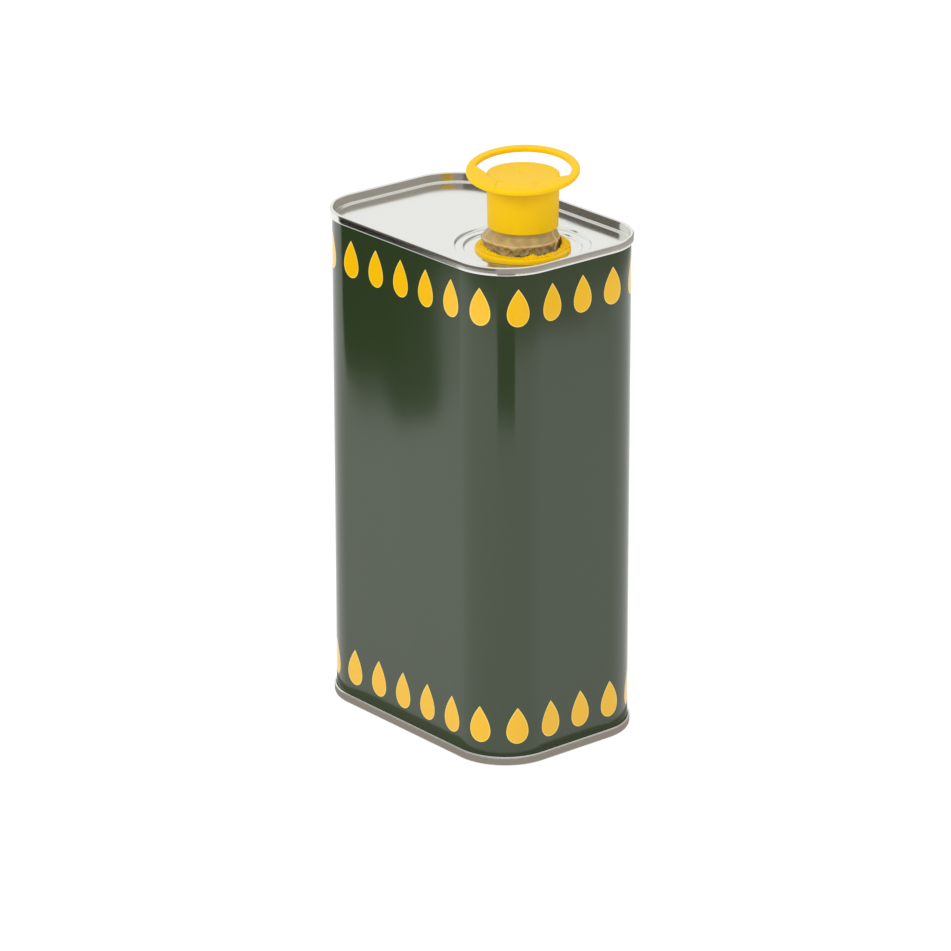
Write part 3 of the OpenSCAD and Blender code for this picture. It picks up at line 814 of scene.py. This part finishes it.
class OILTIN_OT_base(Operator):
    """Builds the bottom end: folded seam, wall and sunk panel"""

    bl_idname = "oiltin.base"
    bl_label = "Bottom End"

    def execute(self, context):
        scene = context.scene
        tin, colours = scene.oiltin_tin, scene.oiltin_colours
        ledge, ledge_reach, slope = tin.base_depth - 0.35 * MM, 0.3 * MM, 1.6 * MM
        upper, lower, panel_start = folded_end(
            tin, tin.bottom_seam, ledge, ledge_reach, tin.base_depth, slope
        )
        distance = stations(tin, 18, 2.4 * MM)
        edge, normal = around_the_tin(tin, distance)
        edge = edge + panel_start * normal
        share = np.linspace(1, 0, 16)[1:, None, None]
        flat = share * edge[None]
        level = tin.base_depth + np.zeros(flat.shape[:2])
        inside = np.dstack([flat, level + tin.plate])
        outside = np.dstack([flat, level])
        flip = np.array([1, -1])
        points = np.concatenate([
            outside[::-1], swept(tin, upper[::-1] * flip, distance),
            swept(tin, lower * flip, distance), inside,
        ])
        piece = grid("bottom_end_plate", points)
        finish_piece(piece, "tin", ["bottom_end"], [bright_tinplate(colours)])
        return {"FINISHED"}


# Torn film round the mouth: angle in degrees, height over the flange and reach over it in mm
FILM_RAGS = np.array([
    (-180, 0.25, 0.1), (-150, 0.3, 0.2), (-142, 0.7, 1.3), (-130, 0.9, 1.8), (-122, 0.8, 1.4),
    (-112, 1.3, 1.9), (-104, 1.0, 1.9), (-96, 0.6, 1.3), (-86, 0.5, 0.9), (-78, 0.2, 0.3),
    (-60, 0.12, 0.3), (-40, 0.12, 0.3), (-35, 0.8, 0.9), (-29, 1.1, 1.2), (-24, 1.0, 0.8),
    (-20, 0.4, 0.6), (-12, 0.6, 0.9), (-6, 0.3, 0.7), (2, 0.7, 1.1), (9, 0.8, 0.9),
    (14, 0.4, 0.6), (28, 0.7, 0.9), (42, 1.4, 1.9), (52, 2.0, 2.2), (62, 2.1, 2.0),
    (75, 1.7, 1.2), (88, 1.0, 0.8), (96, 0.4, 0.3), (140, 0.2, 0.1), (180, 0.25, 0.1),
]).T


class OILTIN_OT_collar(Operator):
    """Builds the collar pressed into the lid and the torn film round its mouth"""

    bl_idname = "oiltin.collar"
    bl_label = "Spout Collar"

    def execute(self, context):
        scene = context.scene
        tin, spout, colours = scene.oiltin_tin, scene.oiltin_spout, scene.oiltin_colours
        yellow = moulded_plastic(
            "Low-density polyethylene, moulded", colours.yellow,
            roughness=0.42, subsurface=0.12, grain=0.5 * MM,
        )
        seat, top, low = TIN_TOP - tin.panel_depth - tin.seat_depth, COLLAR_HIGH, COLLAR_LOW
        # A bead under the lid holds the skirt, and the groove in its end takes the foot ring
        skirt = tin.hole - 0.15 * MM
        bead, bead_out = seat - 1.4 * MM, skirt + 0.7 * MM
        groove_wide, groove_top = 0.45 * MM, low + 1.4 * MM
        groove = (spout.bore + skirt - groove_wide) / 2
        profile = rounded(
            [(spout.bore, low, 0), (spout.bore, seat, 1 * MM), (spout.mouth, top, 0.2 * MM),
             (spout.flange - 0.1 * MM, top, 0.45 * MM), (spout.flange, seat, 0),
             (skirt, seat, 0), (skirt, bead, 0), (bead_out, bead, 0.1 * MM),
             (bead_out, bead - 0.3 * MM, 0.1 * MM), (skirt, bead - 1 * MM, 0),
             (skirt, low, 0), (groove + groove_wide, low, 0),
             (groove + groove_wide, groove_top, 0), (groove, groove_top, 0),
             (groove, low, 0)], closed=True,
        )
        piece = grid("spout_collar_moulding", turned(profile, 160), closed_rows=True)
        finish_piece(piece, "tin", ["spout_collar"], [yellow])
        angle = np.linspace(-180, 180, 1080, endpoint=False)
        height = np.interp(angle, *FILM_RAGS[[0, 1]]) * spout.film * MM
        reach = np.interp(angle, *FILM_RAGS[[0, 2]]) * MM
        angle = angle * DEGREE
        ragged = waves(22, 10, 24 * np.cos(angle), 24 * np.sin(angle))
        height = np.clip(height * (0.9 + 0.32 * ragged), 0.06 * MM, 2.2 * MM)
        # From the root up the inner side, over the torn edge and down onto the flange
        root, lip = spout.bore + 0.47 * MM, spout.mouth - 0.02 * MM
        thick, inset, foot = 0.35 * MM, 0.2 * MM, top - 0.45 * MM
        up = np.array([0, 0.3, 0.6, 0.85, 0.97])[:, None]
        down = np.array([0.97, 0.85, 0.65, 0.45, 0.25, 0.1])[:, None]
        inner = root - thick + (lip - inset - root) * up
        outer = lip + reach - (reach + inset) * down ** 1.5
        lump = waves(24, 14, 26 * np.cos(angle), 26 * np.sin(angle), 2.5 * down)
        outer = outer + 0.25 * lump * reach
        radius = np.vstack([
            inner * np.ones(len(angle)), outer, lip + reach * 0.9, np.full(len(angle), lip),
            np.full(len(angle), root),
        ])
        height = np.vstack([
            foot + (top + height - foot) * up, top + height * down,
            np.full((2, len(angle)), top - 0.04 * MM), np.full(len(angle), foot),
        ])
        film = grid("torn_film_rim", spun(radius, height, angle), closed_rows=True)
        torn = moulded_plastic(
            "Low-density polyethylene, torn", colours.yellow,
            roughness=0.45, subsurface=0.12, grain=0.7 * MM, relief=0.16,
        )
        finish_piece(film, "tin", ["torn_film"], [torn])
        return {"FINISHED"}


class OILTIN_OT_flexible_spout(Operator):
    """Builds the flexible creased wall that lets the spout be drawn up and pushed in"""

    bl_idname = "oiltin.flexible_spout"
    bl_label = "Flexible Spout"

    def execute(self, context):
        scene = context.scene
        tin, spout, colours = scene.oiltin_tin, scene.oiltin_spout, scene.oiltin_colours
        seat = TIN_TOP - tin.panel_depth - tin.seat_depth
        fold, fold_z = spout.fold, seat + spout.fold_height
        in_bore = spout.bore - spout.sleeve_wall / 2 - 0.055 * MM
        on_neck = spout.shoulder + spout.sleeve_wall / 2 + 0.045 * MM
        # Centre line of the wall: up the collar's bore, over the fold and onto the neck
        line = rounded(
            [(in_bore, FOOT_LOW + 0.15 * MM, 0), (in_bore - 0.02 * MM, seat, 2 * MM),
             (fold - 0.45 * MM, fold_z - 2 * MM, 1 * MM), (fold, fold_z - 0.4 * MM, 0.15 * MM),
             (fold, fold_z, 0.15 * MM),
             (on_neck + 0.05 * MM, SHOULDER_LOW + 0.1 * MM, 0.5 * MM),
             (on_neck, SHOULDER_LOW + spout.shoulder_height, 0)],
        )
        line = finer(line, 0.2 * MM)
        outer, inner = both_sides(line, spout.sleeve_wall)
        if outer[0, 0] < inner[0, 0]:
            outer, inner = inner, outer
        profile = np.vstack([inner, outer[::-1]])
        steps = 288
        angle = np.linspace(0, 2 * np.pi, steps, endpoint=False)[None, :]
        radius, height = profile[:, :1], profile[:, 1:]
        # The wall leans to one side and is pleated once; both fade out at its fixed ends
        free = smooth_step(height, seat - 0.4 * MM, seat + 1.8 * MM)
        free = free * smooth_step(SHOULDER_LOW + 0.6 * MM - height, 0, 2.4 * MM)
        toward = np.cos(angle - LEAN_WAY)
        lean = 0.35 + 0.7 * toward
        pleat = 0.8 * np.exp(-(((angle - spout.pleat) / (3.5 * DEGREE)) ** 2))
        # Under the fold the wall is drawn in least on the side that it leans to
        tuck = smooth_step(fold_z - height, 0, 1.6 * MM) * (1 - toward)
        # Dents are deep in the tier under the fold, least on the fold and slight above it
        deep = 0.12 + 0.34 * smooth_step(fold_z - height, 0.2 * MM, 1.2 * MM)
        deep = deep + 0.1 * smooth_step(height - fold_z, 0.3 * MM, 1 * MM)
        up = height / (1.6 * MM)
        dent = waves(31, 14, 4 * np.cos(angle), 4 * np.sin(angle), up)
        crease = waves(32, 12, 11 * np.cos(angle), 11 * np.sin(angle), up * 1.4)
        sag = waves(33, 6, 2 * np.cos(angle), 2 * np.sin(angle))
        radius = radius + free * (lean + pleat - 0.28 * tuck + deep * (dent + 0.6 * crease)) * MM
        texture = np.dstack(np.broadcast_arrays(
            np.linspace(0, 1, steps + 1)[None, :],
            (np.append(profile[:, 1], profile[0, 1])[:, None] - seat) / (10 * MM),
        ))
        height = height + free * 0.25 * sag * MM
        radius = np.broadcast_to(radius, height.shape)
        piece = grid(
            "flexible_spout_wall", spun(radius, height, angle[0]), closed_rows=True,
            texture=texture,
        )
        crumpled = crumpled_plastic(spout, colours)
        finish_piece(piece, None, ["spout_sleeve"], [crumpled])
        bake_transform(piece)
        return {"FINISHED"}


class OILTIN_OT_neck(Operator):
    """Builds the threaded neck"""

    bl_idname = "oiltin.neck"
    bl_label = "Threaded Neck"

    def execute(self, context):
        scene = context.scene
        spout, colours = scene.oiltin_spout, scene.oiltin_colours
        low, top = SHOULDER_LOW, NECK_TOP
        shoulder_top = low + spout.shoulder_height
        profile = rounded(
            [(spout.pour, low, 0), (spout.pour, top, 0.4 * MM), (spout.neck, top, 0.4 * MM),
             (spout.neck, shoulder_top, 0.2 * MM), (spout.shoulder, shoulder_top, 0.2 * MM),
             (spout.shoulder, low, 0)], closed=True,
        )
        line = finer(np.vstack([profile, profile[:1]]), 0.2 * MM)[:-1]
        on_wall = np.abs(line[:, 0] - spout.neck) < 0.01 * MM
        thread_low = top - spout.thread_inset - spout.lead
        points = threaded(line, on_wall, spout.thread_stand, thread_low, spout)
        piece = grid("threaded_neck", points, closed_rows=True)
        natural = moulded_plastic(
            "Natural polyethylene, moulded", colours.natural,
            roughness=0.4, subsurface=0.3, grain=0.6 * MM, transmission=0.2,
        )
        finish_piece(piece, "spout", ["spout_neck"], [natural])
        return {"FINISHED"}


def ring_frame(points, spout):
    """Moves points from the pull ring's plane to their place: x leads to the hinge.

    The plane tilts about the hinge, which lies so low that the ring stays under the cap's
    top at the cap's edge: half its thickness by the tilt's cosine, and the way from the edge
    to the hinge by its tangent.
    """
    tilt, turn, half = 7.6 * DEGREE, HINGE_WAY, spout.ring_thick / 2
    x, y, z = points[..., 0] - spout.hinge, points[..., 1], points[..., 2]
    x, z = x * np.cos(tilt) + z * np.sin(tilt), z * np.cos(tilt) - x * np.sin(tilt)
    x = x + spout.hinge
    z = z + CAP_TOP - half * np.cos(tilt) - (spout.hinge - spout.skirt_top) * np.tan(tilt)
    return np.stack([
        SPOUT_X + x * np.cos(turn) - y * np.sin(turn), x * np.sin(turn) + y * np.cos(turn), z
    ], -1)


class OILTIN_OT_cap(Operator):
    """Builds the screw cap with its inner thread and the tongue that carries the ring"""

    bl_idname = "oiltin.cap"
    bl_label = "Screw Cap"

    def execute(self, context):
        scene = context.scene
        spout, colours = scene.oiltin_spout, scene.oiltin_colours
        yellow = bpy.data.materials["Low-density polyethylene, moulded"]
        top, low, roof = CAP_TOP, CAP_LOW, LINER_TOP
        # From the gate's dimple over the edge, down the skirt and up the bore to the roof
        profile = rounded(
            [(0, top - 0.12 * MM, 0), (0.35 * MM, top - 0.12 * MM, 0.1 * MM),
             (0.5 * MM, top - 0.3 * MM, 0.15 * MM), (0.9 * MM, top - 0.3 * MM, 0.2 * MM),
             (1.6 * MM, top - 0.02 * MM, 0.5 * MM), (spout.skirt_top, top, 0.6 * MM),
             (spout.skirt_low, low, 0.25 * MM), (spout.cap_bore, low, 0.2 * MM),
             (spout.cap_bore, roof, 0), (0, roof, 0)], steps=6,
        )
        line = finer(profile, 0.2 * MM)
        on_bore = np.abs(line[:, 0] - spout.cap_bore) < 0.01 * MM
        on_bore = on_bore & (line[:, 1] < roof - 0.1 * MM)
        # The cap's threads run midway between the neck's, a quarter of the lead lower
        thread_low = NECK_TOP - spout.thread_inset - 1.25 * spout.lead
        points = threaded(line, on_bore, -spout.thread_stand, thread_low, spout)
        piece = grid("screw_cap_moulding", points)
        finish_piece(piece, "cap", ["screw_cap"], [yellow])
        # The tongue's outline is a thin bar whose end is rolled round the hinge's axis
        half = spout.ring_thick / 2
        under = half - spout.tongue_thick
        meets = np.arcsin(-under / half)
        bow = np.linspace(-np.pi + meets, np.pi / 2, 19)
        flat_x = np.linspace(
            spout.skirt_top - 0.75 * MM, spout.hinge - half * np.cos(meets), 12
        )
        outline = np.vstack([
            np.stack([flat_x, np.full(12, under)], 1),
            np.stack([spout.hinge + half * np.cos(bow), half * np.sin(bow)], 1)[1:],
            np.stack([flat_x[::-1], np.full(12, half)], 1),
        ])
        # Both ends are a little rounded, and close on a point in their middle
        inwards = np.array([0, 0, 0.04, 0.15]) * MM - spout.tongue_half
        across = np.concatenate([inwards, -inwards[::-1]])
        thick = np.array([0, 0.88, 0.97, 1, 1, 0.97, 0.88, 0])[:, None]
        middle = (under + half) / 2
        tongue = np.dstack(np.broadcast_arrays(
            outline[None, :, 0], across[:, None],
            middle + thick * (outline[None, :, 1] - middle),
        ))
        tongue[[0, -1], :, 0] = 14 * MM
        # The root lies in the cap, no higher than its top
        tongue = ring_frame(tongue, spout)
        tongue[..., 2] = np.minimum(tongue[..., 2], top)
        piece = grid("ring_tongue", tongue)
        finish_piece(piece, "cap", ["screw_cap"], [yellow])
        return {"FINISHED"}


def ring_inner_edge(angle, spout):
    """Radius of the ring's inner edge in its plane, at angles from the hinge's direction.

    A slot takes the cap's tongue; beside it a crescent web follows the cap; the web's two
    ends run out on straight lines to the round opening.
    """
    spread, gap = np.abs(angle), 0.03 * MM
    web, opening = spout.skirt_top + 0.3 * MM, spout.ring_opening
    slot_end, slot_side = spout.hinge + spout.ring_thick / 2 + gap, spout.tongue_half + gap
    slot = np.minimum(
        slot_end / np.cos(np.minimum(spread, 1)), slot_side / np.sin(np.maximum(spread, 0.05))
    )
    edge = np.maximum(web, np.where(spread < SLOT_SPREAD, slot, 0))
    # Each end's line runs from inside the web's edge to outside the opening's
    near, far = web - 0.4 * MM, opening + 0.6 * MM
    for start, stop, sign in ((64 * DEGREE, 94 * DEGREE, -1), (60 * DEGREE, 80 * DEGREE, 1)):
        between = np.clip(spread, start, stop)
        line = near * far * np.sin(stop - start) / (
            near * np.sin(between - start) + far * np.sin(stop - between)
        )
        line = np.where(spread > stop, opening + MM, line)
        edge = np.where(np.sign(angle) == sign, np.maximum(edge, line * (spread > start)), edge)
    return np.minimum(edge, np.where(spread < SLOT_SPREAD, np.inf, opening))


class OILTIN_OT_pull_ring(Operator):
    """Builds the pull ring with its crescent web"""

    bl_idname = "oiltin.pull_ring"
    bl_label = "Pull Ring"

    def execute(self, context):
        scene = context.scene
        spout = scene.oiltin_spout
        yellow = bpy.data.materials["Low-density polyethylene, moulded"]
        # Degrees from the hinge, close together where the slot and the web are
        fine = np.linspace(-100, 100, 401)
        coarse = np.linspace(102, 258, 79)
        angle = np.concatenate([fine, coarse]) * DEGREE
        angle = np.where(angle > np.pi, angle - 2 * np.pi, angle)
        inner = ring_inner_edge(angle, spout)
        half = spout.ring_thick / 2
        bow = np.linspace(0, np.pi / 2, 6)
        # The section: up the rounded outer edge, then down the inner one, sharp in the slot
        in_slot = (inner > spout.skirt_top + 0.75 * MM) & (np.abs(angle) < SLOT_SPREAD)
        edges = (spout.ring, 1, np.full(len(angle), 0.5 * MM)), (
            inner, -1, np.where(in_slot, 0.06, 0.5) * MM
        )
        rows = []
        for edge, way, bend in edges:
            back = edge + way * bend * (np.cos(bow)[:, None] - 1)
            rise = half - bend + bend * np.sin(bow)[:, None]
            back, rise = np.vstack([back[::-1], back]), np.vstack([-rise[::-1], rise])
            rows.append(np.dstack([back, rise])[::way])
        radius, height = np.moveaxis(np.concatenate(rows), -1, 0)
        points = np.dstack([radius * np.cos(angle), radius * np.sin(angle), height])
        piece = grid("pull_ring_moulding", ring_frame(points, spout), closed_rows=True)
        finish_piece(piece, "ring", ["pull_ring"], [yellow])
        return {"FINISHED"}


class OILTIN_OT_small_parts(Operator):
    """Gives the sealing disc, foot ring and sealing compound their finishes"""

    bl_idname = "oiltin.small_parts"
    bl_label = "Disc, Foot and Compound"

    def execute(self, context):
        colours = context.scene.oiltin_colours
        foam = plain_material("Polyethylene foam, cut", colours.foam, roughness=0.8)
        compound = plain_material("Rubber sealing compound", colours.compound, roughness=0.7)
        natural = bpy.data.materials["Natural polyethylene, moulded"]
        finishes = {
            "cap_liner": (foam, "foam_polyethylene"),
            "sleeve_foot": (natural, "natural_polyethylene"),
            "top_compound": (compound, "sealing_compound"),
            "bottom_compound": (compound, "sealing_compound"),
        }
        for name, (material, slot) in finishes.items():
            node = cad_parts[name]
            node.data.materials.clear()
            node.data.materials.append(material)
        return {"FINISHED"}


class OILTIN_OT_stage(Operator):
    """Sets the pale floor, the soft lamps, the cards for the gloss and the camera"""

    bl_idname = "oiltin.stage"
    bl_label = "Studio Stage"

    def execute(self, context):
        scene = context.scene
        colours = scene.oiltin_colours
        scene.view_settings.view_transform = "Standard"
        self.floor(colours)
        self.world(scene)
        self.lamps()
        self.cards(scene.oiltin_tin)
        self.camera(scene)
        return {"FINISHED"}

    def floor(self, colours):
        """A wide pale floor that looks white to the camera and in reflections."""
        half = 4
        points = half * np.array([(-1, -1, 0), (1, -1, 0), (1, 1, 0), (-1, 1, 0)], float)
        mesh = bpy.data.meshes.new("floor")
        mesh.from_pydata(points, [], [(0, 1, 2, 3)])
        floor = linked("floor", mesh)
        material, tree, output = new_material("Seamless paper, white")
        paper = add(tree, "ShaderNodeBsdfDiffuse", {"Color": (*colours.paper, 1)})
        # Where it is seen, the paper glows white and keeps a share of its shadows
        veiled = add(tree, "ShaderNodeBsdfDiffuse", {"Color": (0.28, 0.28, 0.28, 1)})
        glow = add(tree, "ShaderNodeEmission", {"Color": (1, 1, 1, 1), "Strength": 0.84})
        seen = add(tree, "ShaderNodeAddShader", {0: veiled.outputs[0], 1: glow.outputs[0]})
        both = add(
            tree, "ShaderNodeMixShader",
            {0: self.seen_white(tree), 1: paper.outputs[0], 2: seen.outputs[0]},
        )
        tree.links.new(both.outputs[0], output.inputs[0])
        mesh.materials.append(material)

    def seen_white(self, tree):
        """1 for the rays that see the background: camera, mirror and see-through rays."""
        path = add(tree, "ShaderNodeLightPath")
        first = add(
            tree, "ShaderNodeMath",
            {0: path.outputs["Is Camera Ray"], 1: path.outputs["Is Glossy Ray"]},
            operation="MAXIMUM",
        ).outputs[0]
        return add(
            tree, "ShaderNodeMath", {0: first, 1: path.outputs["Is Transmission Ray"]},
            operation="MAXIMUM",
        ).outputs[0]

    def world(self, scene):
        """White where it is seen, and a softer even light on the object."""
        scene.world = bpy.data.worlds.new("White studio")
        scene.world.use_nodes = True
        tree = scene.world.node_tree
        tree.nodes.clear()
        output = add(tree, "ShaderNodeOutputWorld")
        seen = self.seen_white(tree)
        soft = add(tree, "ShaderNodeBackground", {"Color": (1, 1, 1, 1), "Strength": 0.68})
        white = add(tree, "ShaderNodeBackground", {"Color": (1, 1, 1, 1), "Strength": 1.0})
        mixed = add(
            tree, "ShaderNodeMixShader", {0: seen, 1: soft.outputs[0], 2: white.outputs[0]}
        )
        tree.links.new(mixed.outputs[0], output.inputs[0])

    def lamps(self):
        """A large soft lamp high on the left, and a weaker one from the front right."""
        aim, wide = np.array([0, 0, 0.1]), 1.2
        for name, place, power in (
            ("key lamp", (-0.1, -1.6, 1.15), 14.0), ("fill lamp", (1.7, 0.3, 1.2), 8.0),
        ):
            lamp = bpy.data.lights.new(name, "AREA")
            lamp.shape, lamp.size, lamp.energy = "DISK", wide, power
            holder = linked(name, lamp)
            holder.matrix_world = looking(np.array(place), aim)
            holder.visible_glossy = False

    def cards(self, tin):
        """Cards that only the glossy surfaces see: dark low ones on the left and at the
        front, grey ones far round the camera, and the shade at the tin's foot."""
        # The left side's gloss leads to the first card on lines of sight: how far each passes
        # the tin's middle, and how long it is from the side to the card
        passes, long = np.array([
            (-60, 340), (-20, 335), (4, 320), (5.4, 312), (11.4, 302), (17.3, 297), (25, 299),
            (29.2, 308), (34.2, 330), (36.4, 358), (37.6, 390),
        ]).T
        side, run, rise = -tin.depth / 2 / MM, np.sin(VIEW_AZIMUTH), np.cos(VIEW_AZIMUTH)
        start = (passes + side * run) / rise
        left = np.stack([start - run * long, side - rise * long], 1)
        self.card("dark_card_left", left, 0, 100, (0.012, 0.014, 0.01))
        self.card("dark_card_front", ring_of(335, -56, -20) + (44, -28), 0, 44,
                  (0.12, 0.13, 0.12))
        self.card("room_left", ring_of(475, -150, -56), 16, 450, (0.17, 0.15, 0.13))
        self.card("room_front", ring_of(475, -56, 38), 0, 450, (0.42, 0.37, 0.33))
        self.card("room_right", ring_of(475, 38, 120), 16, 450, (0.45, 0.41, 0.38))
        # One long step along each flat side, and back to the start
        knots = stations(tin, 12, tin.width)
        at, normal = around_the_tin(tin, np.append(knots, 0))
        self.card("shade_at_foot", (at + normal * 1.2 * MM) / MM, 0.2, 0.2,
                  (0.34, 0.3, 0.27), (at + normal * 10 * MM) / MM)

    def card(self, name, low, z_low, z_high, colour, high=None):
        """A strip between two lines of flat points in mm, or up from one line of them."""
        high = low if high is None else high
        points = np.concatenate([
            np.insert(low, 2, z_low, axis=1), np.insert(high, 2, z_high, axis=1)
        ]) * MM
        step, count = np.arange(len(low) - 1), len(low)
        faces = np.stack([step, step + 1, step + 1 + count, step + count], 1)
        mesh = bpy.data.meshes.new(name)
        mesh.from_pydata(points, [], faces)
        card = linked(name, mesh)
        material, tree, output = new_material(name)
        glow = add(tree, "ShaderNodeEmission", {"Color": (*colour, 1), "Strength": 1.0})
        tree.links.new(glow.outputs[0], output.inputs[0])
        material.cycles.emission_sampling = "NONE"
        mesh.materials.append(material)
        card.visible_camera = card.visible_diffuse = card.visible_shadow = False
        card.visible_transmission = False

    def camera(self, scene):
        """A long lens on the photograph's line of sight, rolled a hair."""
        azimuth, elevation, roll = VIEW_AZIMUTH, 20.62 * DEGREE, -0.07 * DEGREE
        back = np.array([np.sin(azimuth) * np.cos(elevation),
                         -np.cos(azimuth) * np.cos(elevation), np.sin(elevation)])
        right = np.array([np.cos(azimuth), np.sin(azimuth), 0])
        up = np.cross(back, right)
        right, up = (right * np.cos(roll) + up * np.sin(roll),
                     up * np.cos(roll) - right * np.sin(roll))
        lens = bpy.data.cameras.new("camera")
        lens.sensor_width, lens.lens = 36, 198.33
        lens.clip_end = 20
        scene.camera = linked("camera", lens)
        scene.camera.matrix_world = standing(right, up, back, (1.27201, -1.05687, 0.70628))


def ring_of(radius, start, stop):
    """Points on an arc round the origin, between two angles in degrees."""
    angle = np.linspace(start, stop, 25) * DEGREE
    return radius * np.stack([np.cos(angle), np.sin(angle)], 1)


def looking(place, aim):
    """A matrix at place whose -Z axis points at aim, with +Y as near upwards as it can."""
    back = (place - aim) / np.linalg.norm(place - aim)
    right = np.cross((0, 0, 1), back)
    right /= np.linalg.norm(right)
    return standing(right, np.cross(back, right), back, place)


def standing(right, up, back, place):
    """A matrix with the three axes and the place as its columns."""
    columns = np.column_stack([right, up, back, place])
    return Matrix(np.vstack([columns, (0, 0, 0, 1)]).tolist())


class OILTIN_PT_panel(Panel):
    """Lists the tin's pieces, sizes and colours"""

    bl_label = "Oil Tin"
    bl_idname = "OILTIN_PT_panel"
    bl_space_type = "VIEW_3D"
    bl_region_type = "UI"
    bl_category = "Oil Tin"

    def draw(self, context):
        layout, scene = self.layout, context.scene
        for operator in OPERATORS:
            layout.operator(operator.bl_idname)
        for group in (scene.oiltin_tin, scene.oiltin_prints, scene.oiltin_spout,
                      scene.oiltin_colours):
            box = layout.box()
            for name in group.__annotations__:
                box.prop(group, name)


OPERATORS = (
    OILTIN_OT_printed_sheet, OILTIN_OT_lid, OILTIN_OT_base, OILTIN_OT_collar,
    OILTIN_OT_flexible_spout, OILTIN_OT_neck, OILTIN_OT_cap, OILTIN_OT_pull_ring,
    OILTIN_OT_small_parts, OILTIN_OT_stage,
)
GROUPS = {
    "oiltin_tin": TinSizes, "oiltin_prints": PrintSizes, "oiltin_spout": SpoutSizes,
    "oiltin_colours": TinColours,
}


def register():
    """Registers the sizes, the operators and the panel."""
    for group in GROUPS.values():
        bpy.utils.register_class(group)
    for operator in OPERATORS:
        bpy.utils.register_class(operator)
    bpy.utils.register_class(OILTIN_PT_panel)
    for name, group in GROUPS.items():
        setattr(bpy.types.Scene, name, PointerProperty(type=group))


def unregister():
    """Takes away what register added, in the opposite order."""
    for name in GROUPS:
        delattr(bpy.types.Scene, name)
    bpy.utils.unregister_class(OILTIN_PT_panel)
    for operator in reversed(OPERATORS):
        bpy.utils.unregister_class(operator)
    for group in reversed(list(GROUPS.values())):
        bpy.utils.unregister_class(group)


def main():
    """Builds all pieces and the stage."""
    register()
    bpy.ops.oiltin.printed_sheet()
    bpy.ops.oiltin.lid()
    bpy.ops.oiltin.base()
    bpy.ops.oiltin.collar()
    bpy.ops.oiltin.flexible_spout()
    bpy.ops.oiltin.neck()
    bpy.ops.oiltin.cap()
    bpy.ops.oiltin.pull_ring()
    bpy.ops.oiltin.small_parts()
    bpy.ops.oiltin.stage()


if __name__ == "__main__":
    main()
